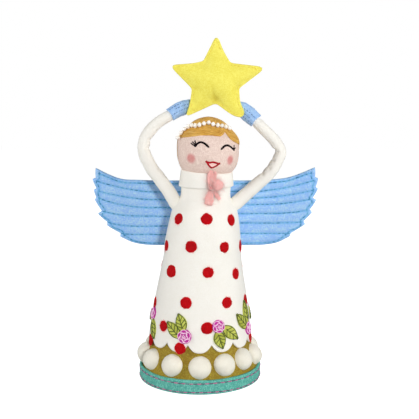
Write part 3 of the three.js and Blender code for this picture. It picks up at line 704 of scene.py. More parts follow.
dotLook = {
    "radius": 5.45, "rise": 0.28, "sink": 0.55, "ragged": 0.5, "kinds": 3, "largest": 7, "largestSize": 1.2,
    "profile": [(0.3, 0.1), (0.6, 0.06), (0.84, 0), (0.92, -0.12),  # share of the radius, height
        (1, -0.42), (1, -0.9)],
    "fibres": 80, "fibreLength": 1.9, "fibreRadius": 0.06, "fan": 0.5, "rim": 0.9,
    "front": [(-47.5, 159.8), (4.4, 161.4), (51.5, 158.8), (-70.5, 131.8), (-17.3, 135.6), (33.4, 134.2),
        (78.5, 131.4), (-47.2, 110.2), (9, 112), (54.2, 107.4), (-77.5, 75.5), (-18.1, 83.4), (34.1, 82.6),
        (73, 79.4), (-46.3, 58.7), (8.1, 60.6), (-21.4, 41), (-70.4, 40.5), (75, 42.6)],
    "back": [(108, 158.5), (153, 161), (204, 159), (252, 158.5), (128, 134), (180, 135.5), (231, 133),
        (103, 110), (154, 111.5), (206, 109), (258, 110.5), (124, 82), (175, 83), (227, 81.5), (95, 60.5),
        (150, 41.5), (183, 60.5), (239, 41.5)],
    "columns": 40, "tears": [(1, 0.55, 11), (0.6, 0.2, 15)], "bumps": [(0.1, 1.6, 17)], "peak": 0.1,
    "sizes": (0.96, 1.06), "fibreSizes": (0.6, 1.2), "fibreRoot": 0.2, "fibreLift": 0.15,
}


def dotShape(kind):  # a flat tuft of wool needled into the dress
    around = fullTurn(dotLook["columns"])
    radius, rise = dotLook["radius"], dotLook["rise"]
    edge = np.stack([np.cos(around), np.sin(around), around * 0], -1)
    ragged = 1 + dotLook["ragged"] / radius * bumpy(edge, dotLook["tears"], kind)
    rings = [np.array([[0, 0, rise + dotLook["peak"]]])]
    for share, z in dotLook["profile"]:
        ring = edge * radius * share * ragged[:, None]
        ring[:, 2] = rise + z + bumpy(ring, dotLook["bumps"], kind)
        rings.append(ring)
    rings.append(np.array([[0, 0, -dotLook["sink"]]]))
    return makePiece(f"dotShape{kind}", *ringed(rings[::-1]))


def dotFibre():  # one loose hair at the rim of a tuft, lying on the dress
    around = fullTurn(3)
    ring = np.stack([around * 0, np.cos(around), np.sin(around)], -1) * dotLook["fibreRadius"]
    root = np.array([-dotLook["fibreRoot"], 0, 0])
    far = np.array([dotLook["fibreLength"], 0, dotLook["fibreLift"]])
    return makePiece("dotFibre", *ringed([[root], ring, ring * 0.7 + far * 0.6, [far]]))


def makeDots():
    places = np.array(dotLook["front"] + dotLook["back"], float)
    turns, heights = np.radians(places[:, 0]), places[:, 1]
    random = np.random.default_rng(4)
    spin = random.uniform(0, 2 * math.pi, len(places))
    sizes = random.uniform(*dotLook["sizes"], len(places))
    sizes[dotLook["largest"]] = dotLook["largestSize"]
    lies, points = bellNormal(turns, heights), onBell(turns, heights)
    alongs = spun(turns, lies, spin)
    dots = []
    for kind in range(dotLook["kinds"]):
        own = slice(kind, None, dotLook["kinds"])
        values = [rows[own] for rows in (points, lies, alongs, sizes)]
        dots.append(placeEach(f"redDots{kind}", dotShape(kind), *values, redFelt))
    away = random.uniform(0, 2 * math.pi, (len(places), dotLook["fibres"]))
    lean = away.ravel() + random.normal(0, dotLook["fan"], away.size)
    girth = np.hypot(points[:, 0], points[:, 1])[:, None]
    rim = dotLook["radius"] * dotLook["rim"]
    rimTurns = (turns[:, None] + rim * np.cos(away) / girth).ravel()
    rimHeights = (heights[:, None] + rim * np.sin(away)).ravel()
    lies = bellNormal(rimTurns, rimHeights)
    alongs = spun(rimTurns, lies, lean)
    sizes = random.uniform(*dotLook["fibreSizes"], len(alongs))
    roots = onBell(rimTurns, rimHeights) + lies * 0.1
    dots.append(placeEach("dotFibres", dotFibre(), roots, lies, alongs, sizes, redHairs))
    joinPieces(*dots).name = "redDots"
    return dots[0]


redDots = makeDots()
print("dress and dots made")


# Underskirt, hem band and felt balls

hemLook = {
    "radius": 59.7, "height": 13.6, "round": 1.1, "columns": 180, "lines": (10.6, 2.2), "groove": 0.28,
    "waves": [(0.3, 17, 31)], "edgeWaves": [(0.35, 24, 33)],
    "stitch": {"length": 3.3, "pitch": 7.5, "radius": 0.5, "rise": 0.5, "jitter": 0.12}, "rows": 26,
    "grooveWidth": 0.7, "fade": 3, "edgeDepth": 1.5, "stray": 0.25, "pressed": 0.15, "offset": 0.03,
}
underskirtLook = {
    "low": 2.7, "top": 82, "columns": 150, "rows": 34, "waves": [(0.3, 14, 21)], "fades": (6, 4),
}
ballLook = {
    "turns": [0.5, 26.6, 51.6, 78, 111, 144, 177, 210, 243, 276, 301, 330.8], "radius": 10.6,
    "height": 23.6, "sink": 2.2, "dents": [(0.22, 0.35, 41), (0.352, 1.1, 43)], "back": 0.5,
    "sizes": (0.985, 1.02), "rises": [0, 0.9, 2, 0, 0, 0, 0, 0, 0, 0, 0, 0],
}
hemSeat = hemLook["radius"] - felt - fit
skirtSeat = bellRadius(dressLook["edge"]) - felt - fit


def underskirtRadius(z):
    z, edge = np.asarray(z, float), dressLook["edge"]
    low = hemSeat + (skirtSeat - hemSeat) * ramp(z, hemLook["height"], edge)
    return np.where(z <= edge, low, bellRadius(np.maximum(z, edge)) - felt - fit)


def makeUnderskirt():
    turns = fullTurn(underskirtLook["columns"])
    below, above = underskirtLook["fades"]
    outer, inner = [], []
    for z in np.linspace(underskirtLook["low"], underskirtLook["top"], underskirtLook["rows"]):
        wide = underskirtRadius(z)
        free = np.clip((dressLook["edge"] - z) / below, 0, 1) * np.clip((z - hemLook["height"]) / above, 0, 1)
        swell = bumpy(turnedPoint(turns, wide, z), underskirtLook["waves"]) * free
        outer.append(turnedPoint(turns, wide + swell, z))
        inner.append(turnedPoint(turns, wide - felt + swell, z))
    return makePiece("underskirtFelt", *looped(outer + inner[::-1]), oliveFelt)


def makeHem():
    turns = fullTurn(hemLook["columns"])
    high, out, bend = hemLook["height"], hemLook["radius"], hemLook["round"]
    inside = hemSeat - felt - fit
    least = inside - felt
    outer = []
    for z in np.linspace(bend, high - bend, hemLook["rows"])[1:-1]:
        shares = [math.exp(-((z - line) / hemLook["grooveWidth"]) ** 2) for line in hemLook["lines"]]
        outer.append((out - sum(hemLook["groove"] * share for share in shares), z))
    soft = bend * 0.3
    profile = [(least + bend, 0), (out - bend, 0), (out - soft, soft), (out, bend), *outer,
               (out, high - bend), (out - soft, high - soft), (out - bend, high),
               (out - felt, high), (out - felt, felt), (inside, felt), (inside, high),
               (least, high), (least, bend), (least + soft, soft)]
    rings = []
    for radius, z in profile:
        line = turnedPoint(turns, radius, z)
        free = 0 if radius < out - felt - 0.01 else np.clip(z / hemLook["fade"], 0, 1)
        wave = bumpy(line, hemLook["waves"]) * free
        drift = bumpy(line, hemLook["edgeWaves"]) * (z > high - hemLook["edgeDepth"])
        rings.append(turnedPoint(turns, radius + wave, z + drift))
    hem = makePiece("hemBand", *looped(rings), tealFelt)
    threads = []
    for which, (name, thread, seed) in enumerate((("hemMauve", mauveThread, 3), ("hemDusk", duskThread, 5))):
        shift = which * (hemLook["stitch"]["pitch"] / 2) / out  # two colours of thread in turn
        paths = []
        for number, line in enumerate(hemLook["lines"]):
            around = turns + shift + number * hemLook["offset"]
            stray = hemLook["stray"] * np.sin(5 * around + number)
            ring = turnedPoint(around, out - hemLook["pressed"], line + stray)
            paths.append((ring, unit(ring * np.array([1, 1, 0])), True))
        threads.append(sew(name, paths, hemLook["stitch"], thread, seed))
    return joinPieces(hem, *threads)


def makeBalls():
    points, faces = icoBall(5)
    points = points * (ballLook["radius"] + bumpy(points, ballLook["dents"]))[:, None]
    points[:, 2] = np.maximum(points[:, 2], ballLook["back"])  # the back is sewn flat to the underskirt
    turns = np.radians(ballLook["turns"])
    z = ballLook["height"] + np.array(ballLook["rises"])
    slope = (skirtSeat - hemSeat) / (dressLook["edge"] - hemLook["height"])
    lies = outwards(turns, turns * 0 + slope)
    alongs = spun(turns, lies, np.random.default_rng(12).uniform(0, 2 * math.pi, len(turns)))
    places = turnedPoint(turns, underskirtRadius(z) - ballLook["sink"], z)
    sizes = np.random.default_rng(13).uniform(*ballLook["sizes"], len(turns))
    shape = makePiece("ballShape", points, faces)
    return placeEach("feltBalls", shape, places, lies, alongs, sizes, ballFelt)


underskirtFelt = makeUnderskirt()
hemBand = makeHem()
feltBalls = makeBalls()
print("skirt edge made")


# Sprigs: roses with two leaves each

sprigLook = {
    "turns": [-73, -17, 21, 69, 108, 160, 196, 243], "heights": [66, 52.5, 61.5, 52.5] * 2, "rose": 6.4,
    "roseSizes": [0.95, 1.06, 0.97, 1.0, 1.0, 1.04, 0.96, 1.0], "dome": 1.9, "tuck": 2.8, "sink": 0.9,
    "roseRings": (0.12, 0.25, 0.4, 0.55, 0.7, 0.82, 0.92, 1.0), "petals": 5, "leafLength": 18,
    "leafWidth": 11.6, "leafThickness": 1.4, "belly": 0.95, "fullness": 0.85, "veins": 4, "leafRows": 18,
    "leafColumns": 11, "inset": 0.88,
    "leafPlaces": [[(284, 299, 1.0), (185, 203, 0.8)],  # start, way, size
        [(96, 113, 0.87), (214, 140, 1.03)],
        [(240, 286, 0.85), (2, 319, 1.05)],
        [(92, 99, 1.2), (172, 133, 1.13)]] * 2,
    "rib": {"length": 1.8, "pitch": 1.1, "radius": 0.4, "rise": 0.25, "jitter": 0.1},
    "petal": {"length": 1.8, "pitch": 1.1, "radius": 0.3, "rise": 0.25, "jitter": 0.08},
    "ripple": (0.25, 9), "curl": 0.45, "crease": (0.35, 0.12), "foot": (0.25, 2.6), "under": 0.25,
    "edgeLift": 0.62, "midrib": (0.3, 0.94, 0.86), "veinFeet": (0.26, 0.54), "veinRun": 0.17,
    "veinReach": 0.8,
}


def roseHeight(radius):  # dome of the rose over its seat
    share = np.clip(np.asarray(radius) / sprigLook["rose"], 0, 1)
    return sprigLook["dome"] * (1 - share ** 3) ** 0.6


def polar(turn, radius, z):
    return np.stack([np.cos(turn) * radius, np.sin(turn) * radius, z], -1)


def roseLines():  # a small heart, a ring of petals round it and a scalloped edge, as flat polar lines
    petals, turn = sprigLook["petals"], 2 * math.pi
    t = np.linspace(0, 1, 30)
    lines = [(0.4 + 1.3 * t, 2.6 * math.pi * t, False)]
    t = np.linspace(0, 1, petals * 14, endpoint=False)
    wave = np.abs(np.sin(petals * math.pi * t)) ** 0.7
    lines.append((2.7 + 0.9 * wave, turn * t + 0.4, True))
    lines.append((4.9 + 1.1 * wave, turn * t + 1.0, True))
    t = np.linspace(0, 1, 6)
    for k in range(petals):  # folds from the heart to the edge
        lines.append((2.9 + 2.0 * t, turn * k / petals + 0.4 + 0.6 * t, False))
    return lines


def makeRoses():
    around = fullTurn(48)
    ragged = 1 + 0.045 * np.abs(np.sin(3 * around)) ** 0.7
    rings = [np.array([[0, 0, sprigLook["dome"]]])]
    for share in sprigLook["roseRings"]:
        radius = sprigLook["rose"] * share
        z = roseHeight(radius) + 0.12 * np.sin(3.5 * radius + 2 * around)
        rings.append(polar(around, radius * ragged, z * (share < 0.99)))
    rings.append(polar(around, 6 * ragged, around * 0 - sprigLook["sink"]))
    rings.append(np.array([[0, 0, -sprigLook["sink"]]]))
    disc = makePiece("roseShape", *ringed(rings[::-1]))
    paths = []
    for radius, turn, closed in roseLines():
        line = polar(turn, radius, roseHeight(radius) + 0.3)
        lie = unit(np.stack([line[:, 0] * 0.35, line[:, 1] * 0.35, np.full(len(line), 6.0)], -1))
        paths.append((line, lie, closed))
    thread = sew("roseThread", paths, sprigLook["petal"], petalThread, 7)
    turns, heights = np.radians(sprigLook["turns"]), np.array(sprigLook["heights"])
    lies = bellNormal(turns, heights)
    alongs = spun(turns, lies, np.random.default_rng(21).uniform(0, 2 * math.pi, len(turns)))
    spots = onBell(turns, heights, fit), lies, alongs, sprigLook["roseSizes"]
    discs = placeEach("roses", disc, *spots, roseFelt)
    return joinPieces(discs, placeEach("rosePetals", thread, *spots, petalThread))


def leafSpot(turn, height, place, along, across, lift):
    start, towards = (math.radians(angle) for angle in place[:2])
    reach = sprigLook["rose"] - sprigLook["tuck"]  # its foot lies under the rose
    u = reach * math.cos(start) + along * math.cos(towards) - across * math.sin(towards)
    v = reach * math.sin(start) + along * math.sin(towards) + across * math.cos(towards)
    return onBell(turn + u / bellRadius(height), height + v, lift + fit)


def leafFaces(start):  # a top and an underside with a rim of quads
    rows, columns = sprigLook["leafRows"], sprigLook["leafColumns"]
    below = rows * columns
    rim = [r * columns for r in range(rows)]
    rim += [(rows - 1) * columns + c for c in range(1, columns)]
    rim += [r * columns + columns - 1 for r in range(rows - 2, -1, -1)]
    rim += list(range(columns - 2, 0, -1))
    faces = []
    for r in range(rows - 1):
        for c in range(columns - 1):
            a = start + r * columns + c
            b = a + below
            faces.append((a, a + columns, a + columns + 1, a + 1))
            faces.append((b, b + 1, b + columns + 1, b + columns))
    for k, m in zip(rim, rim[1:] + rim[:1]):
        faces.append((start + k, start + below + k, start + below + m, start + m))
    return faces


def makeLeaves():
    points, faces, paths = [], [], []
    rows, columns, thick = sprigLook["leafRows"], sprigLook["leafColumns"], sprigLook["leafThickness"]
    share, side = np.linspace(0, 1, rows), np.linspace(-1, 1, columns)
    bulge = np.sin(math.pi * share ** sprigLook["belly"]).clip(0) ** sprigLook["fullness"]
    half = np.maximum(sprigLook["leafWidth"] * bulge, 0.5) / 2
    (ripple, ripples), (crease, narrow) = sprigLook["ripple"], sprigLook["crease"]
    (foot, slope), (first, last, ribLift) = sprigLook["foot"], sprigLook["midrib"]
    lowest, spread = sprigLook["veinFeet"]
    sprigs = zip(np.radians(sprigLook["turns"]), sprigLook["heights"])
    places = [(i, *sprig, place) for i, sprig in enumerate(sprigs) for place in sprigLook["leafPlaces"][i]]
    for i, turn, height, place in places:
        spot = partial(leafSpot, turn, height, place)
        length = sprigLook["leafLength"] * place[2] + sprigLook["tuck"]
        wave = ripple * np.sin(ripples * share + i)[:, None] * side[None] ** 2
        lift = thick * (1 - sprigLook["curl"] * side[None] ** 2) + wave
        lift = lift - crease * np.exp(-(side[None] / narrow) ** 2)
        lift = lift * np.clip(foot + slope * share, 0, 1)[:, None]
        along = np.broadcast_to(share[:, None] * length, (rows, columns))
        across = half[:, None] * side[None]
        faces += leafFaces(len(points))
        points += [*spot(along, across, lift).reshape(-1, 3)]
        points += [*spot(along, across, lift * 0 - sprigLook["under"]).reshape(-1, 3)]
        rim = [*zip(share[1:], half[1:]), *zip(share[:0:-1], -half[:0:-1])]
        lifts = [thick * sprigLook["edgeLift"] * min(1, foot + slope * s) for s, h in rim]
        edge = [(s * length, h * sprigLook["inset"], raised) for (s, h), raised in zip(rim, lifts)]
        middle = [(a, 0.0, thick * ribLift) for a in np.linspace(first * length, length * last, 12)]
        lines = [edge, middle]
        for vein in length * (lowest + spread * np.arange(sprigLook["veins"]) / (sprigLook["veins"] - 1)):
            run = sprigLook["veinRun"] * length
            wide = np.interp((vein + run) / length, share, half) * sprigLook["veinReach"]
            for sign in (-1, 1):
                lines.append([(vein + run * q, sign * wide * q, thick * (0.95 - 0.25 * q * q))
                              for q in np.linspace(0.05, 1, 5)])
        lie = bellNormal(turn, height)
        paths += [(np.array([spot(*mark) for mark in line]), lie, False) for line in lines]
    leaves = makePiece("leaves", points, faces, leafFelt)
    return joinPieces(leaves, sew("leafStitches", paths, sprigLook["rib"], greenThread, 9))


roses = makeRoses()
leaves = makeLeaves()
print("sprigs made")


# Collar and bow

collarLook = {
    "low": 188.9, "height": 15.2, "radius": 26.7, "taper": 1.6, "slit": (1.0, 4.6), "columns": 120,
    "roll": 1.2, "dip": 0.9, "curl": 0.25, "curlOver": 5, "waves": [(0.3, 15, 51)],
    "drifts": [(0.35, 22, 53)], "flat": (0.157, 0.0155),
}


def collarRadius(z):
    return collarLook["radius"] - collarLook["taper"] * (z - collarLook["low"]) / collarLook["height"]


def makeCollar():
    low, high = collarLook["low"], collarLook["low"] + collarLook["height"]
    first, last = math.radians(collarLook["slit"][1]), math.radians(360 + collarLook["slit"][0])
    profile = [(-felt, low + 0.5), (-felt * 0.75, low), (-0.5, low), (0, low + 0.5)]
    profile += [(0, z) for z in np.linspace(low + 0.5, high - 0.9, 10)[1:]]
    profile += [(-0.3, high - 0.25), (-0.9, high), (-felt + 0.4, high), (-felt, high - 0.5)]
    profile += [(-felt, z) for z in np.linspace(high - 0.5, low + 0.5, 6)[1:-1]]
    offset, z = np.array(profile).T
    rings = []
    for turn in np.linspace(first, last, collarLook["columns"]):  # one section at each place round the neck
        away = min(turn - first, last - turn) * collarLook["radius"]
        line = turnedPoint(turn, collarRadius(z), z)
        lifted = collarLook["curl"] * math.exp(-away / collarLook["curlOver"])  # the ends lift a little
        wave = bumpy(line, collarLook["waves"]) + lifted
        drift = bumpy(line, collarLook["drifts"]) * ((z < low + 1) | (z > high - 1))
        # the upper edge isn't level
        tip = -collarLook["roll"] * math.sin(turn) - collarLook["dip"] * math.cos(turn)
        rise = (z - low) / (high - low)
        rings.append(turnedPoint(turn, collarRadius(z) + offset + wave, z + drift + tip * rise))
    ends = [[ring.mean(0)] for ring in (rings[0], rings[-1])]
    points, faces = ringed([ends[0], *rings, ends[1]])
    return makePiece("collarBand", points, [face[::-1] for face in faces], whiteFelt)


bowLook = {
    "side": 4.2, "height": 191,
    "strands": [[(0, -1, 2.0, 1.6),  # sideways and up from the knot, lift from the cloth, half width
        (-0.9, 3.5, 1.7, 2.2), (-1.3, 7.5, 1.4, 2.6), (-1.0, 11.5, 1.3, 2.6), (-0.4, 15, 1.5, 2.1)],
        [(0.6, -0.5, 2.2, 1.1), (1.9, 4, 1.9, 1.5), (2.6, 8, 1.5, 1.8), (3.0, 11.5, 1.3, 1.8),
        (3.0, 14.2, 1.5, 1.5)],
        [(0.5, 0.5, 2.0, 1.6), (0.3, -5.5, 1.6, 2.7), (-0.5, -10.5, 1.4, 3.8), (-1.0, -16.8, 1.3, 5.2)],
        [(0.8, 0, 2.0, 1.3), (4.0, -5.2, 1.6, 1.8), (6.8, -9.4, 1.4, 2.1), (9.4, -12.8, 1.3, 2.0)]],
    "facing": (0.16, -0.98, 0.1), "steps": 40, "flat": 0.36, "loopShape": (1, 0.55, 0.98),
    "loop": (5.7, 1.6, 2.9, 5.3), "knot": (0.2, -0.8, 2.4, 1.9), "knotShade": 3.4, "knotShadeLift": 1.2,
    "fuzz": {"perCm": 340, "length": 4.6, "radius": 0.04, "tilt": 1.25},
    "bumps": [(0.2, 2.4, 61), (0.14, 0.8, 71)], "columns": 22,
}


def bowSpot(side, up, lift):
    z = bowLook["height"] + up
    radius = float(bellRadius(z) if z < collarLook["low"] else collarRadius(z))
    return turnedPoint((bowLook["side"] + side) / radius, radius + lift, z)


def makeBow():
    parts = []
    for number, strand in enumerate(bowLook["strands"]):
        line = smoothPath(strand, bowLook["steps"])
        path = np.array([bowSpot(*spot[:3]) for spot in line])
        taper = np.sin(np.linspace(0.25, math.pi - 0.3, bowLook["steps"])) ** 0.35
        radii = line[:, 3] * np.clip(taper, 0, 1)
        rings = tubeRings(path, radii, np.array(bowLook["facing"]), bowLook["columns"], bowLook["flat"])
        middle = path[:, None]
        rings = middle + (rings - middle) * bumpy(rings, bowLook["bumps"], number, 1)[..., None]
        parts.append(makePiece(f"bowStrand{number}", *ringed([[path[0]], *rings, [path[-1]]]), pinkWool))
    for number, (side, up, lift, radius) in enumerate((bowLook["loop"], bowLook["knot"])):
        points, faces = icoBall(4)
        swell = 1 + 0.09 * lumps(points, 0.5, 81 + number) + 0.05 * lumps(points, 0.18, 83)
        shaped = points * np.array(bowLook["loopShape"]) * radius * swell[:, None] + bowSpot(side, up, lift)
        parts.append(makePiece(f"bowLoop{number}", shaped, faces, pinkWool))
    bow = joinPieces(*parts)
    bow.name = "woolBow"
    # painted shade round the knot, where the strands meet
    knot = bowSpot(*bowLook["knot"][:2], bowLook["knotShadeLift"])
    setLayer(bow, "knotShade", np.exp(-(np.linalg.norm(getPlaces(bow) - knot, axis=1) / bowLook["knotShade"]) ** 2))
    return bow, fuzzOn("bowFuzz", bow, bowLook["fuzz"], fuzzWool, 5)


collarBand = makeCollar()
woolBow, bowFuzz = makeBow()
print("collar and bow made")


# Head, face, hair and pearls

faceLook = {  # degrees round the head from the front, and height
    "eyes": [[(-23.6, 229.4), (-19, 231.8), (-13, 232.7), (-6.7, 231.6), (-0.2, 228.9)],
        [(26, 226.8), (31.4, 228.9), (38.3, 229.5), (45.4, 227.9), (54.2, 225)]],
    "lashes": [[(-23.6, 229.3), (-27.7, 229.9), (-31.9, 231.2)],
        [(-23.1, 229.6), (-26.2, 231.2), (-29.4, 232.5)],
        [(-22.3, 230), (-23.6, 231.8), (-24.9, 233.2)],
        [(52.9, 225.7), (54.4, 226.9), (55.2, 228.4)],
        [(53.9, 225.2), (56.4, 225.6), (58.2, 226.4)]],
    "cheeks": [(-33.2, 217.4, 5.4, 5.2), (45.8, 215.6, 4.6, 5.2)],  # and half width, half height
    "mouth": [(-2.3, 214.4), (3.2, 213.8), (8.9, 214.2), (14.3, 213.5), (20.6, 212.6), (15.4, 210.7),
        (10.5, 209.5), (7.1, 209), (4, 210), (1.1, 211.7)],
    "corner": 4, "columns": 176, "dents": [(0.22, 11, 91)],
    "eyeThread": {"length": 1.8, "pitch": 0.8, "radius": 1.0, "rise": 0.25, "jitter": 0.06},
    "lashThread": {"length": 1.5, "pitch": 0.8, "radius": 0.58, "rise": 0.2, "jitter": 0.06},
    "lipThread": {"length": 1.7, "pitch": 0.8, "radius": 0.96, "rise": 0.25, "jitter": 0.06},
    "rows": (46, 52), "poleFade": 8, "patches": [(0.25, 2.0, 95)], "blush": (1.08, 0.5, 0.9), "lip": 0.6,
    "mouthGrid": 0.8, "mouthGap": 0.4, "mouthLayers": (0.3, -0.5),
}


def makeHead():
    turns = fullTurn(faceLook["columns"])
    seat, lip, (below, above) = headMiddle - headDrop, faceLook["lip"], faceLook["rows"]
    shares = np.sin(np.linspace(0, 1, below) * math.pi / 2)
    heights = [seat + lip + (headMiddle - seat - lip) * share for share in shares]
    heights += [headMiddle + headRise * math.sin(a) for a in np.linspace(0, math.pi / 2, above)[1:-1]]
    rings = [headPoint([0], 0, seat)]
    for z in heights:
        wide = headRadius(z)
        swell = bumpy(headPoint(turns, wide, z), faceLook["dents"])
        swell = swell * np.clip(wide / faceLook["poleFade"], 0, 1)
        rings.append(headPoint(turns, wide + swell, z))
    rings.append(headPoint([0], 0, headMiddle + headRise))
    points, faces = ringed(rings)
    head = makePiece("headBall", points, faces, skinFelt)
    tint = np.zeros(len(points))
    patchy = np.clip(bumpy(points, faceLook["patches"], 0, 1), 0, 1.1)
    reach, fade, strength = faceLook["blush"]
    for turn, z, wide, tall in faceLook["cheeks"]:
        around = np.degrees(np.arctan2(points[:, 0] - headAxis, -points[:, 1])) - turn
        away = np.hypot(np.radians(around) * headWide / wide, (points[:, 2] - z) / tall)
        tint = np.maximum(tint, np.clip((reach - away) / fade, 0, 1) * strength * patchy)
    setLayer(head, "blush", tint.clip(0, 1))
    return head


def faceLine(marks, lift, count):
    marks = smoothPath([(turn / 2, z, 0) for turn, z in marks], count) * np.array([2, 1, 1])
    return *onHead(np.radians(marks[:, 0]), marks[:, 1], lift), False


def makeFace():
    corners, corner = np.array(faceLook["mouth"], float), faceLook["corner"]
    halves = [corners[:corner + 1], np.concatenate([corners[corner:], corners[:1]])]
    sewn = []
    for name, lines, lift, count, thread, seed in (("eye", faceLook["eyes"], 0.2, 30, blackThread, 2),
                                                   ("lash", faceLook["lashes"], 0.2, 10, blackThread, 2),
                                                   ("lip", halves, 0.25, 26, lipThread, 4)):
        paths = [faceLine(line, lift, count) for line in lines]
        sewn.append(sew(name + "Stitches", paths, faceLook[name + "Thread"], thread, seed))
    edges = zip(corners, np.roll(corners, -1, axis=0))
    scale = np.array([math.radians(1) * headWide, 1])
    loop = np.concatenate([np.linspace(a, b, 6, endpoint=False) for a, b in edges]) * scale
    inner = staggered(loop, faceLook["mouthGrid"])
    inner = inner[insideOutline(inner, loop) & (nearest(inner, loop) > faceLook["mouthGap"])]
    flat, faces = filled(loop, inner)
    turns = np.radians(flat[:, 0] / scale[0])
    layers = [onHead(turns, flat[:, 1], lift)[0] for lift in faceLook["mouthLayers"]]
    count, size = len(flat), len(loop)
    sides = [(k, count + k, count + (k + 1) % size, (k + 1) % size) for k in range(size)]
    mouth = makePiece("mouthFelt", np.concatenate(layers), twoSided(faces, count) + sides, lipFelt)
    return mouth, joinPieces(*sewn[:2]), sewn[2]


hairLook = {
    "thickness": 0.95, "columns": 220, "rows": 60, "edge": 0.55, "strands": 0.36, "inside": -0.5,
    "hairline": [(-180, 203.4), (-106, 203.4), (-99, 206), (-95, 216), (-92, 226), (-88, 233), (-82, 235.1),
        (-39.4, 237.2), (-17, 238.7), (3.8, 238.7), (16.2, 238.1), (25.3, 237.7), (34.1, 239.2),
        (43.1, 241.6), (44.6, 238.2), (47.4, 235), (55.1, 232.6), (68.1, 230.4), (84, 228.8), (92, 222),
        (97, 214), (101, 206), (106, 203.4), (180, 203.4)],
    "sides": {-1: (92, 16, 0.5), 1: (92, 22, 0.1)}, "beside": (236, 6, 84), "puff": (61, 236, 9, 0.9),
    "part": 41, "partDepth": 0.5, "partWidth": 2.2, "partLength": 14, "frontal": 1.6, "pole": 0.012,
    "crowd": 1.15, "fade": 1.3, "swept": (0.03, 0.9), "fallen": (0.45, 0.05), "rootFade": 2.5,
    "combScale": (90, 40),
}


def headAngle(z):  # angle over the middle of the head, running on below it
    up = np.asarray(z, float) - headMiddle
    return np.where(up >= 0, np.arcsin(np.clip(up / headRise, -1, 1)), up / headDrop * math.pi / 2)


def headHeight(angle):
    return headMiddle + np.where(angle >= 0, headRise * np.sin(angle), headDrop * angle / (math.pi / 2))


def makeHair():
    columns, rows, inside = hairLook["columns"], hairLook["rows"], hairLook["inside"]
    degrees = np.arange(columns) / columns * 360 - 180
    turns = np.radians(degrees)
    low = headAngle(np.interp(degrees, *np.array(hairLook["hairline"], float).T))
    front = np.clip(np.cos(turns) * hairLook["frontal"], 0, 1)
    puffTurn, puffHeight, puffSize, puffRise = hairLook["puff"]
    besideTop, besideFade, besideTurn = hairLook["beside"]
    (sweptAcross, sweptDown), (fallenAcross, fallenDown) = hairLook["swept"], hairLook["fallen"]
    outer, inner, comb = [], [], []
    for share in np.arange(rows) / (rows - 1):
        angle = low + (math.pi / 2 - hairLook["pole"] - low) * share ** hairLook["crowd"]
        z = headHeight(angle)
        away = (angle - low) * headWide  # mm over the hairline
        full = hairLook["edge"] + (1 - hairLook["edge"]) * (1 - np.exp(-away / hairLook["fade"]))
        for sign, (start, width, least) in hairLook["sides"].items():  # thin beside the face
            back = np.clip((sign * degrees - start) / width, 0, 1)
            beside = np.clip((besideTop - z) / besideFade, 0, 1) * (sign * degrees > besideTurn)
            full = full * (1 - beside * (1 - least) * (1 - back))
        swept = np.stack([degrees * sweptAcross, away * sweptDown, away * 0], -1)
        fallen = np.stack([degrees * fallenAcross, away * fallenDown, away * 0 + 9], -1)
        strand = lumps(swept, 1.0, 101) * front + lumps(fallen, 1.0, 103) * (1 - front)
        spread = np.hypot(np.radians(degrees - puffTurn) * headRadius(z), z - puffHeight) / puffSize
        rooted = np.clip(away / hairLook["rootFade"], 0, 1)
        lift = hairLook["thickness"] * full + hairLook["strands"] * strand * rooted * full
        lift = lift + puffRise * np.exp(-spread ** 2)
        parted = hairLook["partDepth"] * np.exp(-((degrees - hairLook["part"]) / hairLook["partWidth"]) ** 2)
        parted = parted * np.clip(1 - away / hairLook["partLength"], 0, 1)
        outer.append(onHead(turns, z, lift - parted)[0])
        inner.append(onHead(turns, z, inside)[0])
        across, down = degrees / hairLook["combScale"][0], away / hairLook["combScale"][1]
        combed = [np.stack(pair, -1) for pair in ((across, down), (down, across))]
        comb.append(np.where((front > 0.3)[:, None], *combed))
    poles = [headPoint([0], 0, headMiddle + headRise + lift) for lift in (inside, hairLook["thickness"])]
    points, faces = ringed([poles[0], *inner[::-1][::4], inner[0], *outer, poles[1]])
    hair = makePiece("hairCap", points, faces, hairFelt)
    flat = np.zeros((len(points), 2))
    flat[-1 - rows * columns:-1] = np.concatenate(comb)
    corners = np.array([loop.vertex_index for loop in hair.data.loops])
    hair.data.uv_layers.new(name="comb").data.foreach_set("uv", flat[corners].astype(np.float32).ravel())
    return hair


pearlLook = {
    "radius": 2.15, "count": 14, "clear": 0.1, "thread": 0.45, "stray": 0.5,
    "marks": [(-69.4, 236.4), (-71.8, 238.8), (-71.8, 241.4), (-67.7, 244.2), (-59.3, 246.4),
        (-47.5, 247.7), (-28, 248.2), (-14.6, 249.6), (-1.2, 250.3), (10.5, 249.4), (25.7, 248),
        (40.1, 246.9), (59.6, 245.2)],
    "bumps": [(0.05, 0.7, 111)], "oval": (1.0, 0.96, 1.04), "sizes": (0.9, 1.08), "turned": 0.5,
    "steps": 90,
}


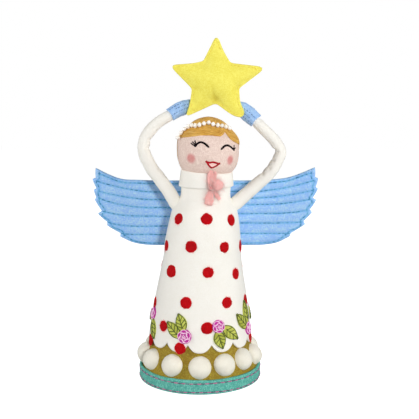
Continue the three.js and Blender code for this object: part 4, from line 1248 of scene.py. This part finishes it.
def makePearls():
    lift = hairLook["thickness"] + pearlLook["clear"] + pearlLook["radius"]
    wide, high = headWide + lift, headRise + lift
    turns, heights = np.array(pearlLook["marks"], float).T
    up = (heights - headMiddle) / high
    level = np.sqrt(1 - up ** 2)
    course = np.stack([level * np.sin(np.radians(turns)), -level * np.cos(np.radians(turns)), up], -1) * wide

    def spots(count):
        out = unit(smoothPath(course, count))
        return headPoint(0, 0, headMiddle) + out * np.array([wide, wide, high]), out

    points, out = spots(pearlLook["count"])
    random = np.random.default_rng(31)
    across = np.cross(out, unit(np.gradient(points, axis=0)))
    points = points + across * random.uniform(-1, 1, (len(points), 1)) * pearlLook["stray"]
    bead, faces = icoBall(3)
    bead = bead * bumpy(bead, pearlLook["bumps"], 0, 1)[:, None] * np.array(pearlLook["oval"])
    shape = makePiece("pearlShape", bead * pearlLook["radius"], faces)
    turned = random.uniform(-pearlLook["turned"], pearlLook["turned"], points.shape)
    alongs = unit(np.gradient(points, axis=0) + turned)
    sizes = random.uniform(*pearlLook["sizes"], len(points))
    pearls = placeEach("pearlString", shape, points, out, alongs, sizes, pearlGloss)
    line, out = spots(pearlLook["steps"])
    rings = tubeRings(line, pearlLook["thread"], out, 8)
    return joinPieces(pearls, makePiece("pearlThread", *ringed([[line[0]], *rings, [line[-1]]]), whiteThread))


crownLook = {"low": 233, "high": 247, "draw": 0.11}


def drawIn(piece):  # the crown is a little narrower than a ball
    points = getPlaces(piece)
    part = ramp(points[:, 2], crownLook["low"], crownLook["high"])
    share = 1 - crownLook["draw"] * part ** 2 * (3 - 2 * part)
    points[:, 0] = headAxis + (points[:, 0] - headAxis) * share
    points[:, 1] *= share
    setPlaces(piece, points)


headBall = makeHead()
mouthFelt, eyeStitches, lipStitches = makeFace()
hairCap = makeHair()
pearlString = makePearls()
for piece in (headBall, hairCap, pearlString):
    drawIn(piece)
print("head made")


# Arms: stuffed sleeves on a wire, mitts and the star

armLook = {
    "root": 6.7, "elbow": {"left": 6.2, "right": 6.0}, "wrist": 5.3, "tip": 3.6,
    "left": [(-23.2, 171.9), (-29.9, 183.4), (-37.1, 193.6), (-48.1, 209.2), (-53.7, 224), (-50.7, 237.2),
        (-41.03, 248.5), (-28.03, 257)],
    "right": [(34.57, 171.5), (44.97, 180.9), (56.2, 191.1), (64.1, 197.9), (73.2, 209.8), (77.6, 222.2),
        (72.67, 231.6), (62.87, 241.7), (54.17, 250.3)],
    "inside": {"left": (-20.2, 166.2), "right": (29.4, 166.8)},
    "tips": {"left": (-23, 260), "right": (50.2, 254)},
    "folds": {"left": [(-49, 226, 2.2), (-47.5, 233, 2.0)],
        "right": [(73.6, 221.4, 2.0), (71, 223.2, 1.6), (70.4, 214.2, 1.6), (66.6, 206.6, 1.7),
        (60.4, 201.2, 1.8)]},
    "foldDepth": 1.3, "bumps": [(0.28, 9, 121), (0.16, 3.5, 123)], "stations": [0, 0.06, 0.5, 0.93, 1],
    "steps": 150, "columns": 36, "rootShare": 0.8,
}
forwards = np.array([0, -1.0, 0])


def makeSleeve(side):
    controls = [armLook["inside"][side], *armLook[side], armLook["tips"][side]]
    path = smoothPath([(x, 0, z) for x, z in controls], armLook["steps"])
    root = armLook["root"]
    thickness = [root * armLook["rootShare"], root, armLook["elbow"][side], armLook["wrist"], armLook["tip"]]
    radii = np.interp(np.linspace(0, 1, len(path)), armLook["stations"], thickness)
    rings = tubeRings(path, radii, forwards, armLook["columns"])
    middle = path[:, None]
    rings = rings + unit(rings - middle) * bumpy(rings, armLook["bumps"])[..., None]
    for x, z, size in armLook["folds"][side]:  # dents on the inside of a bend
        away = np.linalg.norm(rings[..., [0, 2]] - np.array([x, z]), axis=-1) / size
        rings = rings + unit(middle - rings) * (armLook["foldDepth"] * np.exp(-away ** 2))[..., None]
    return makePiece(side + "Sleeve", *ringed([[path[0]], *rings, [path[-1]]]), whiteFelt)


starLook = {
    "corners": [(16.3, 333, 0.5),  # clockwise from the top: place, share of each edge that is rounded
        (22.4, 317.4, 0.3), (29.2, 305.8, 0.12), (63.8, 301.9, 0.3), (37.5, 282, 0.1), (38.3, 269.4, 0.4),
        (43, 260, 0.4), (40.6, 254.2, 0.45), (31.4, 256.2, 0.4), (15.4, 268, 0.12), (-13.4, 254.9, 0.25),
        (-8.9, 268.8, 0.4), (-7.2, 281.8, 0.12), (-29, 303.8, 0.3), (-5, 305.6, 0.3), (3.6, 307.6, 0.12),
        (9.1, 318.4, 0.3)],
    "plane": -7.35, "half": 2.55, "seam": 2.4, "spacing": 2.0, "frames": 20, "cap": 6.6, "wide": 1.5,
    "rimSections": [(0.2, -2.0), (0.0, -1.275), (0.35, 0.0), (0.0, 1.275), (0.2, 2.0)],  # inset, depth
    "cloth": {"quality": 6, "mass": 0.004, "tension_stiffness": 2, "compression_stiffness": 2,
        "shear_stiffness": 1, "bending_stiffness": 0.05, "use_pressure": True,
        "uniform_pressure_force": 8000.0},
    "creases": [(15.2, 267.8, 100, 21, 1.9),  # start, direction, length and depth
        (15.2, 267.8, 74, 13, 1.3), (15.2, 267.8, 132, 13, 1.3), (15.2, 267.8, 40, 9, 0.9),
        (38.1, 282.4, 195, 10, 1.0), (-7.2, 282.4, -8, 11, 1.1), (-5.5, 274, -60, 9, 0.9)],
    "stitch": {"length": 2.2, "pitch": 3.3, "radius": 0.27, "rise": 0.12, "jitter": 0.5}, "rimStep": 1.6,
    "seamStep": 1.9, "threadStep": 1.0, "turnIn": 0.8, "gridGap": 1.1, "seamGap": 1.0, "rimGap": 0.9,
    "freeFrom": 0.4, "shade": 0.5, "shadeFrom": 1.5, "foldShare": 0.8, "swellOver": 6.5,
}


def starCorners(inset):  # the corners moved inwards
    corners = np.array([place[:2] for place in starLook["corners"]])
    along = unit(np.roll(corners, -1, axis=0) - corners)
    shifted = corners + np.stack([along[:, 1], -along[:, 0]], -1) * inset  # the corners run clockwise
    moved = []
    for k in range(len(corners)):  # where two neighbouring shifted edges meet
        a, b = along[k - 1], along[k]
        gap = shifted[k] - shifted[k - 1]
        t = (gap[0] * b[1] - gap[1] * b[0]) / (a[0] * b[1] - a[1] * b[0])
        moved.append(shifted[k - 1] + a * t)
    return np.array(moved)


def rounded(start, here, end, t):  # a bend from the start towards here and on to the end
    return start * (1 - t) ** 2 + 2 * here * t * (1 - t) + end * t ** 2


def starOutline(inset, step):
    corners = starCorners(inset)
    line = []
    for k, (_, _, share) in enumerate(starLook["corners"]):
        here, before, after = corners[k], corners[k - 1], corners[(k + 1) % len(corners)]
        start, end = here + (before - here) * share, here + (after - here) * share
        line += [rounded(start, here, end, t) for t in np.linspace(0, 1, 9)]
    closed = np.array(line + line[:1])
    length = lineLength(closed)
    return alongLine(closed, length, np.linspace(0, length[-1], int(length[-1] / step), endpoint=False))


def starEdges():
    return starOutline(0, starLook["rimStep"]), starOutline(starLook["seam"], starLook["seamStep"])


def upright(flat, y):  # flat points stood up in the plane at y
    return np.stack([flat[:, 0], np.full(len(flat), y), flat[:, 1]], -1)


def makeStar():
    half, plane = starLook["half"], starLook["plane"]
    rim, seam = starEdges()
    ahead = unit(np.roll(rim, -1, axis=0) - np.roll(rim, 1, axis=0))
    inwards = np.stack([ahead[:, 1], -ahead[:, 0]], -1)
    face = rim + inwards * starLook["turnIn"]
    inner = staggered(rim, starLook["spacing"])
    inner = inner[insideOutline(inner, seam) & (nearest(inner, seam) > starLook["gridGap"])]
    between = staggered(rim, starLook["seamStep"])
    between = between[insideOutline(between, face) & ~insideOutline(between, seam)]
    between = between[nearest(between, seam) > starLook["seamGap"]]
    between = between[nearest(between, face) > starLook["rimGap"]]
    flat, faces = filled(face, np.concatenate([seam, inner, between]), [len(seam)])
    layers, count = len(flat), len(rim)
    front, back = upright(flat, plane - half), upright(flat, plane + half)
    edges = [upright(rim + inwards * inset, plane + y) for inset, y in starLook["rimSections"]]
    points = np.concatenate([front, back, *edges])
    normals = [np.cross(front[b] - front[a], front[c] - front[a])[1] for a, b, c in faces]
    frontFaces = [f if n < 0 else f[::-1] for f, n in zip(faces, normals)]  # the front looks along -Y
    starts = [0, *[2 * layers + count * k for k in range(len(edges))], layers]
    star = makePiece("starPillow", points, twoSided(frontFaces, layers) + bridged(starts, count), starFelt)
    faceOutwards(star)
    free = np.tile(insideOutline(flat, seam) & (nearest(flat, seam) > starLook["freeFrom"]), 2)
    pinned = [*np.flatnonzero(~free), *range(2 * layers, len(points))]
    star.vertex_groups.new(name="seam").add([int(k) for k in pinned], 1.0, "REPLACE")
    puffStar(star, points)
    line = starOutline(starLook["seam"], starLook["threadStep"])
    paths = [(upright(line, plane + side * (half + 0.02)), np.array([0.0, side, 0.0]), True)
             for side in (-1, 1)]
    return joinPieces(star, sew("starStitches", paths, starLook["stitch"], starThread, 13))


def puffStar(star, rest):  # wool filling swells the faces inside the stitched seam
    cloth = star.modifiers.new("filling", "CLOTH")
    for name, value in starLook["cloth"].items():
        setattr(cloth.settings, name, value)
    cloth.settings.vertex_group_mass = "seam"
    cloth.settings.effector_weights.gravity = 0
    cloth.collision_settings.use_collision = False
    cloth.point_cache.frame_end = starLook["frames"]
    for number in range(1, starLook["frames"] + 1):
        scene.frame_set(number)
    shift = getPlaces(star.evaluated_get(bpy.context.evaluated_depsgraph_get())) - rest
    star.modifiers.remove(cloth)
    scene.frame_set(1)
    reach = np.abs(shift[:, 1]).max()
    print("star swelled by", round(float(reach), 2), "mm before the cap")
    shift = shift * min(1.0, starLook["cap"] / reach)
    shade = np.zeros(len(rest))
    for x, z, degrees, length, depth in starLook["creases"]:  # folds that run in from the notches, with painted shade along them
        way = np.array([math.cos(math.radians(degrees)), math.sin(math.radians(degrees))])
        flat = rest[:, [0, 2]] - np.array([x, z])
        along, across = flat @ way, flat @ np.array([-way[1], way[0]])
        fold = depth * np.exp(-(across / starLook["wide"]) ** 2)
        fold = fold * np.clip(1 - along / length, 0, 1) * (along > -1)
        shade = np.maximum(shade, fold * starLook["shade"] * (along > starLook["shadeFrom"]))
        most = np.abs(shift[:, 1]) * starLook["foldShare"]
        shift[:, 1] -= np.sign(shift[:, 1]) * np.minimum(fold, most)
    setPlaces(star, rest + shift)
    # painted shade in the folds, which the star felt reads as its crease colour
    setLayer(star, "crease", shade.clip(0, 1))
    star.vertex_groups.clear()
    fine = star.modifiers.new("fine", "SUBSURF")
    fine.levels = fine.render_levels = 1
    mesh = bpy.data.meshes.new_from_object(star.evaluated_get(bpy.context.evaluated_depsgraph_get()))
    star.modifiers.remove(fine)
    star.data = mesh
    mesh.shade_smooth()


mittLook = {
    "left": [(-28.2, 256.9), (-21.3, 261.3), (-11.5, 265.2), (-2.5, 267.4)],
    "right": [(54.0, 251.2), (48.2, 256.4), (40.8, 262.2), (34.4, 266.6)],
    "wide": {"left": [(0, 6.4), (0.12, 6.5), (0.5, 6.9), (0.72, 6.3), (0.9, 4.6), (1, 2.2)],
        "right": [(0, 7.0), (0.14, 7.3), (0.4, 7.7), (0.72, 7.2), (0.9, 5.2), (1, 2.4)]},
    "deep": [(0, 0.93), (0.3, 0.86), (0.6, 0.72), (1, 0.7)], "tip": 0.93, "cuff": 0.92, "hollow": 1.8,
    "waves": [(0.2, 6, 131), (0.35, 2.6, 133)], "furthest": 4.5,
    "lines": [(0.22, 0.07, 0.74), (-0.28, 0.28, 0.72), (-0.66, 0.1, 0.5)],  # place across, start, end
    "stitch": {"length": 1.7, "pitch": 2.5, "radius": 0.3, "rise": 0.25, "jitter": 0.15}, "margin": 0.8,
    "clear": 0.15, "steps": 70, "columns": 40, "tipLength": 0.075, "dip": (0.5, 0.09), "hollowEnd": 0.25,
    "pressed": 0.35,
}


def behindStar(points):  # moves points back until they clear the star
    rim, seam = starEdges()
    flat = points[:, [0, 2]]
    depth = np.where(insideOutline(flat, seam), nearest(flat, seam), 0)
    swell = starLook["cap"] * (1 - np.exp(-depth / starLook["swellOver"]))
    covered = insideOutline(flat, rim) | (nearest(flat, rim) < mittLook["margin"])
    back = np.where(covered, starLook["plane"] + starLook["half"] + swell + mittLook["clear"], -1e3)
    points[:, 1] = np.maximum(points[:, 1], np.minimum(back, mittLook["furthest"]))
    return points


def makeMitt(side):
    path = smoothPath([(x, 0, z) for x, z in mittLook[side]], mittLook["steps"])
    share, tip = np.linspace(0, 1, len(path)), mittLook["tip"]
    radii = np.interp(share, *np.array(mittLook["wide"][side]).T)
    blunt = np.sqrt(np.clip(1 - ((share - tip) / mittLook["tipLength"]) ** 2, 0.05, 1))
    radii = radii * np.where(share > tip, blunt, 1)
    depths = np.interp(share, *np.array(mittLook["deep"]).T)
    rings = tubeRings(path, radii, forwards, mittLook["columns"], depths[:, None, None])
    middle = path[:, None]
    along = unit(np.gradient(path, axis=0))
    across = unit(np.cross(along, forwards))
    offset = ((rings - middle) * across[:, None]).sum(-1) / radii[:, None]
    depth, narrow = mittLook["dip"]
    for place, low, high in mittLook["lines"]:  # the felt dips under the stitches
        dip = depth * np.exp(-((offset - place) / narrow) ** 2) * ((share > low) & (share < high))[:, None]
        rings = rings + unit(middle - rings) * dip[..., None]
    rings = rings + unit(rings - middle) * bumpy(rings, mittLook["waves"])[..., None]
    cut = np.clip(1 - share / mittLook["hollowEnd"], 0, 1)[:, None]
    hollow = mittLook["hollow"] * (1 - offset ** 2).clip(0) * cut
    rings = rings + along[:, None] * hollow[..., None]  # the cuff is cut back between its corners
    rings = behindStar(rings.reshape(-1, 3)).reshape(rings.shape)
    cuff = rings[0] + (path[0] - rings[0]) * (1 - mittLook["cuff"])
    deepCuff = path[4] + (rings[4] - path[4]) * 0.8
    rings = [[path[5]], deepCuff, cuff - along[0] * 0.25, *rings, [path[-1]]]
    mitt = makePiece(side + "Mitt", *ringed(rings), mittFelt)
    paths = []
    for place, low, high in mittLook["lines"]:
        chosen = np.flatnonzero((share > low) & (share < high))
        for face in (-1, 1):
            line = path[chosen] + across[chosen] * (place * radii[chosen])[:, None]
            rise = np.sqrt(1 - place ** 2) * radii[chosen] * depths[chosen] - mittLook["pressed"]
            line[:, 1] += face * rise
            paths.append((behindStar(line), np.array([0.0, face, 0.0]), False))
    return joinPieces(mitt, sew(side + "MittStitches", paths, mittLook["stitch"], navyThread, 15))


leftSleeve, rightSleeve = makeSleeve("left"), makeSleeve("right")
starPillow = makeStar()
leftMitt, rightMitt = makeMitt("left"), makeMitt("right")
print("arms and star made")


# Wings: two layers of felt quilted along the feathers

wingLook = {
    "bottom": 122.8, "top": 67.8, "front": 39.5718, "tilt": 0.166108, "middle": float(leanAt(156.7)),
    "root": 6,
    "tips": {"left": [(109.6, 80.8), (113, 69.6), (112.2, 58.4), (111.7, 48.4), (109, 33.3), (100, 21),
        (87, 9.2)],
        "right": [(109, 81.4), (112.4, 70.4), (112.6, 59.6), (111.4, 47.9), (107.6, 35), (101.2, 22.4),
        (86.2, 9.5)]},
    "notches": {"left": [(109.8, 70.9), (109.5, 60.4), (110.2, 51.2), (105, 36.4), (100, 25), (86.6, 12.8)],
        "right": [(109.4, 71.6), (110.3, 61.6), (107.8, 50.2), (105.4, 38), (99.6, 25.8), (87, 12.8)]},
    "bulge": 0.5, "reach": {"left": 0.985, "right": 1.01}, "sign": {"left": -1, "right": 1},
    "upper": {"left": [(0, 0), (30, 0), (66, 0.6), (85, 1.9), (98, 6.9)],
        "right": [(0, 0), (30, 0), (66, 1), (84, 3.4), (98, 8.6)]},
    "lower": [(74, 3), (62, 0.6), (46, 0), (24, 0), (0, 0)], "seeds": {"left": 141, "right": 147},
    "rows": {"left": [57, 48.9, 40.3, 31.2, 20.6, 11.6], "right": [57.6, 50.6, 43.5, 34, 24, 12.8]},
    "ends": [(-3, -3.4), (-3, -3), (-3, -1), (-2.5, -0.3), (-2.5, -0.8), (-2, 0)],
    "bends": [1.8, 1.9, 2.4, 3.2, 4.5, 6], "bendFrom": 48, "upperTip": (3.4, 4.6), "lowerTip": (-4.2, 2.2),
    # groove and pressed: width and strength of the painted shade along the wing's stitch lines
    "deck": 2.55, "least": 1.9, "most": 2.8, "edge": 1.5, "soft": 1.5, "groove": 1.1, "spacing": 1.7,
    "bend": (1.5, 10.5), "stitch": {"length": 3.0, "pitch": 4.6, "radius": 0.4, "rise": 0.3, "jitter": 0.4},
    "step": 1.5, "rowStart": 1.5, "wander": 0.6, "wanderSize": 11, "edgeInsets": (2.3, 2.2),
    "tipInsets": (3.0, 4.2), "markGap": 0.8, "markStep": 0.9, "rimGap": 0.9, "gridGap": 0.85,
    "bumps": [(0.16, 6, 151), (0.1, 2.6, 153)], "rimOut": 0.35, "rimDepths": (-0.9, 0.0, 0.9),
    "pressed": 0.65, "rimTint": 0.25, "threadLift": 0.05,
}


def onWing(side, flat, y):  # flat places on a wing at this depth from its front
    tilt, (x, z) = wingLook["tilt"], flat.T
    return np.stack([wingLook["middle"] + wingLook["sign"][side] * x * wingLook["reach"][side],
                     wingLook["front"] + y * math.cos(tilt) - z * math.sin(tilt),
                     wingLook["bottom"] + y * math.sin(tilt) + z * math.cos(tilt)], -1)


def wingMarks(side):
    return [np.array(wingLook[key][side], float) for key in ("tips", "notches", "upper")]


def wingOutline(side, step):  # from the middle along the upper edge, round the feathers and back
    tips, notches, upper = wingMarks(side)
    runs = [smoothPath(np.concatenate([upper + np.array([0, wingLook["top"]]), tips[:1]]), 60)]
    for last, tip, notch in zip(tips[:-1], tips[1:], notches):
        control = (last + notch) / 2 + np.array([wingLook["bulge"], 0])
        runs.append(rounded(last, control, notch, np.linspace(0, 1, 9)[:, None]))
        runs.append(np.array([notch, tip]))
    runs.append(smoothPath(np.concatenate([tips[-1:], np.array(wingLook["lower"], float)]), 60))
    line = []
    for run in runs:  # each run on its own, so that the corners stay sharp
        length = lineLength(run)
        line.append(alongLine(run, length, np.linspace(0, length[-1], max(3, int(length[-1] / step)))[:-1]))
    return np.concatenate([*line, runs[-1][-1:]])


def wingLines(side):  # rows of stitches: to each notch, inside each edge, inside the feather tips
    lines = []
    tips, notches, upper = wingMarks(side)
    rows = zip(wingLook["rows"][side], notches, wingLook["ends"], wingLook["bends"])
    for number, (z, notch, short, bend) in enumerate(rows):
        end = notch + np.array(short)
        x = np.linspace(wingLook["rowStart"], end[0], 70)
        share = ramp(x, wingLook["bendFrom"], end[0])
        field = np.stack([x, x * 0 + 20 * number, x * 0], -1)
        wave = wingLook["wander"] * lumps(field, wingLook["wanderSize"], wingLook["seeds"][side])
        lines.append(np.stack([x, z + (end[1] - z) * share ** bend + wave * (1 - share)], -1))
    first = tips[:1] - np.array([wingLook["upperTip"]])
    last = tips[-1:] + np.array([wingLook["lowerTip"]])
    down, up = wingLook["edgeInsets"]
    lower = np.array(wingLook["lower"], float)[::-1] + np.array([0, up])
    lines.append(smoothPath(np.concatenate([upper + np.array([0, wingLook["top"] - down]), first]), 80))
    lines.append(smoothPath(np.concatenate([lower, last]), 80))
    centre = np.array([wingLook["root"], wingLook["top"] / 2])
    fromNotch, fromTip = wingLook["tipInsets"]
    inner = [first[0]]
    for tip, notch in zip(tips[1:], notches):
        inner += [notch - unit(notch - centre) * fromNotch, tip - unit(tip - centre) * fromTip]
    lines.append(smoothPath(inner, 120))
    return lines


def makeWing(side):
    outline, lines, deck = wingOutline(side, wingLook["step"]), wingLines(side), wingLook["deck"]
    marks = np.concatenate([smoothPath(line, int(len(line) * 1.2)) for line in lines])
    marks = marks[insideOutline(marks, outline) & (nearest(marks, outline) > wingLook["markGap"])]
    kept, step = [], wingLook["markStep"]
    for mark in marks:  # rows that meet share points
        if all(abs(mark[0] - k[0]) + abs(mark[1] - k[1]) > step for k in kept[-40:]):
            kept.append(mark)
    kept = np.array(kept)
    inner = staggered(outline, wingLook["spacing"])
    inner = inner[insideOutline(inner, outline)]
    inner = inner[nearest(inner, outline) > wingLook["rimGap"]]
    inner = inner[nearest(inner, kept) > wingLook["gridGap"]]
    flat, faces = filled(outline, np.concatenate([kept, inner]))
    away = nearest(flat, np.concatenate([smoothPath(line, 400) for line in lines]))
    swell = 1 - np.exp(-away / wingLook["soft"])
    rise = wingLook["least"] + (wingLook["most"] - wingLook["least"]) * swell
    field = np.stack([flat[:, 0], flat[:, 1], flat[:, 0] * 0], -1)
    rise = bumpy(field, wingLook["bumps"], 0, rise)
    count, around = len(flat), len(outline)
    rise[:around] = wingLook["edge"]
    tangent = unit(np.roll(outline, -1, axis=0) - np.roll(outline, 1, axis=0))
    rim = outline + np.stack([-tangent[:, 1], tangent[:, 0]], -1) * wingLook["rimOut"]  # it runs clockwise
    rings = [onWing(side, rim, deck + y) for y in wingLook["rimDepths"]]
    points = np.concatenate([onWing(side, flat, deck - rise), onWing(side, flat, deck + rise), *rings])
    starts = [0, *[2 * count + around * k for k in range(len(rings))], count]
    wing = makePiece(side + "Wing", points, twoSided(faces, count) + bridged(starts, around), skyFelt)
    # painted shade along the stitch lines, darkest in the grooves; the rim strip gets the rimTint share of
    # the same darker blue
    pressed = np.exp(-(away / wingLook["groove"]) ** 2) * wingLook["pressed"]
    atRim = np.full(len(rings) * around, wingLook["rimTint"])
    setLayer(wing, "groove", np.concatenate([pressed, pressed, atRim]))
    faceOutwards(wing)
    lie = np.array([0, math.cos(wingLook["tilt"]), math.sin(wingLook["tilt"])])
    lift = wingLook["least"] + wingLook["threadLift"]
    paths = [(onWing(side, line, deck + face * lift), face * lie, False)
             for line in lines for face in (-1, 1)]
    return joinPieces(wing, sew(side + "WingStitches", paths, wingLook["stitch"], skyThread, 16))


leftWing, rightWing = makeWing("left"), makeWing("right")
print("wings made")


# What each piece rides on and stands for

def settle(obj, body, slot, *nodes):
    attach(obj, body)
    if nodes:
        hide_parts(*nodes)


settle(dressBell, "figure", "white_felt", "dress")
settle(redDots, "figure", "rose_felt")
settle(underskirtFelt, "figure", "olive_felt", "underskirt")
settle(hemBand, "figure", "teal_felt", "hem_band")
settle(feltBalls, "figure", "ball_felt", *[f"pompom_{k + 1:02d}" for k in range(12)])
settle(roses, "figure", "rose_felt", *[f"rose_{k + 1}" for k in range(8)])
settle(leaves, "figure", "leaf_felt", *[f"leaf_{k + 1}{letter}" for k in range(8) for letter in "ab"])
settle(collarBand, "figure", "white_felt", "collar")
settle(woolBow, "figure", "pink_wool", "bow")
settle(bowFuzz, "figure", "pink_wool")
settle(headBall, "figure", "skin_felt", "head")
settle(mouthFelt, "figure", "skin_felt")
settle(eyeStitches, "figure", None)
settle(lipStitches, "figure", "rose_felt")
settle(hairCap, "figure", "hair_felt", "hair_cap")
settle(pearlString, "figure", "pearl", "pearl_string")
settle(leftSleeve, "arms", "white_felt", "left_sleeve")
settle(rightSleeve, "arms", "white_felt", "right_sleeve")
settle(leftMitt, "arms", "sky_felt", "left_mitt")
settle(rightMitt, "arms", "sky_felt", "right_mitt")
settle(starPillow, "arms", "star_felt", "star_front", "star_back", "star_filling")
for wing, side in ((leftWing, "left"), (rightWing, "right")):
    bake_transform(wing)
    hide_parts(side + "_wing_front", side + "_wing_back")


# Floor, light and camera

studio = {
    "ambient": 0.05, "floor": 0.5, "glow": 0.98, "side": 3000, "drop": -0.2,
    "lamps": [("key", (0.36, -1.51, 0.5), 0.2, 12.6), ("front", (0.3, -1.435, 0.85), 0.9, 0.5),
        ("left", (-1.4, -0.3, 0.6), 0.9, 12.0), ("right", (1.2, -0.65, 0.8), 0.9, 10.5),
        ("back", (0.1, 1.4, 0.75), 0.9, 9.0)],
    "aim": (0, 0, 0.17), "cameraPlace": (0.0095, -0.82, 0.285), "pitch": 8.28, "focal": 854, "pixels": 419,
    "sensor": 36,
}
white = (1, 1, 1, 1)


def seenOrLit(tree, lit, seen, output):  # one shader for light, one for what the camera sees
    path = addNode(tree, "ShaderNodeLightPath").outputs
    direct = calc(tree, "MAXIMUM", path["Is Camera Ray"], path["Is Glossy Ray"])
    direct = calc(tree, "MAXIMUM", direct, path["Is Transmission Ray"])
    mixed = nodeOut(tree, "ShaderNodeMixShader", inputs={0: direct, 1: lit, 2: seen})
    addNode(tree, output, inputs={0: mixed})


def emptyTree(owner):
    owner.use_nodes = True
    owner.node_tree.nodes.clear()
    return owner.node_tree


def makeBackground():
    scene.world = bpy.data.worlds.new("studio")
    tree = emptyTree(scene.world)
    dim, bright = (nodeOut(tree, "ShaderNodeBackground", inputs={"Color": white, "Strength": strength})
                   for strength in (studio["ambient"], 1.0))
    seenOrLit(tree, dim, bright, "ShaderNodeOutputWorld")
    floorWhite = bpy.data.materials.new("floorWhite")
    tree = emptyTree(floorWhite)
    paper = nodeOut(tree, "ShaderNodeBsdfDiffuse", inputs={"Color": (studio["floor"],) * 3 + (1,)})
    glow = nodeOut(tree, "ShaderNodeEmission", inputs={"Color": white, "Strength": studio["glow"]})
    bright = nodeOut(tree, "ShaderNodeAddShader", inputs={0: paper, 1: glow})
    seenOrLit(tree, paper, bright, "ShaderNodeOutputMaterial")
    side, low = studio["side"], studio["drop"]
    corners = [(-side, -side, low), (side, -side, low), (side, side, low), (-side, side, low)]
    makePiece("floor", corners, [(0, 1, 2, 3)], floorWhite)


def placeObject(name, data, place, turn):
    obj = bpy.data.objects.new(name, data)
    obj.location, obj.rotation_euler = place, turn
    scene.collection.objects.link(obj)
    return obj


def makeLamps():
    for name, place, size, power in studio["lamps"]:
        data = bpy.data.lights.new(name, "AREA")
        data.shape, data.size, data.energy = "DISK", size, power
        aim = Vector(studio["aim"]) - Vector(place)
        placeObject(name, data, place, aim.to_track_quat("-Z", "Y").to_euler())


def makeCamera():
    data = bpy.data.cameras.new("camera")
    data.sensor_fit, data.sensor_width = "HORIZONTAL", studio["sensor"]
    data.lens = studio["focal"] / studio["pixels"] * studio["sensor"]
    data.clip_start, data.clip_end = 0.01, 20
    turn = (math.radians(90 - studio["pitch"]), 0, 0)
    scene.camera = placeObject("camera", data, studio["cameraPlace"], turn)


makeBackground()
makeLamps()
makeCamera()
scene.view_settings.view_transform = "Standard"
bpy.context.view_layer.update()
meshes = [obj.data for obj in scene.objects if obj.type == "MESH"]
total = sum(len(mesh.loop_triangles) or len(mesh.polygons) for mesh in meshes)
print("faces in the scene:", total)
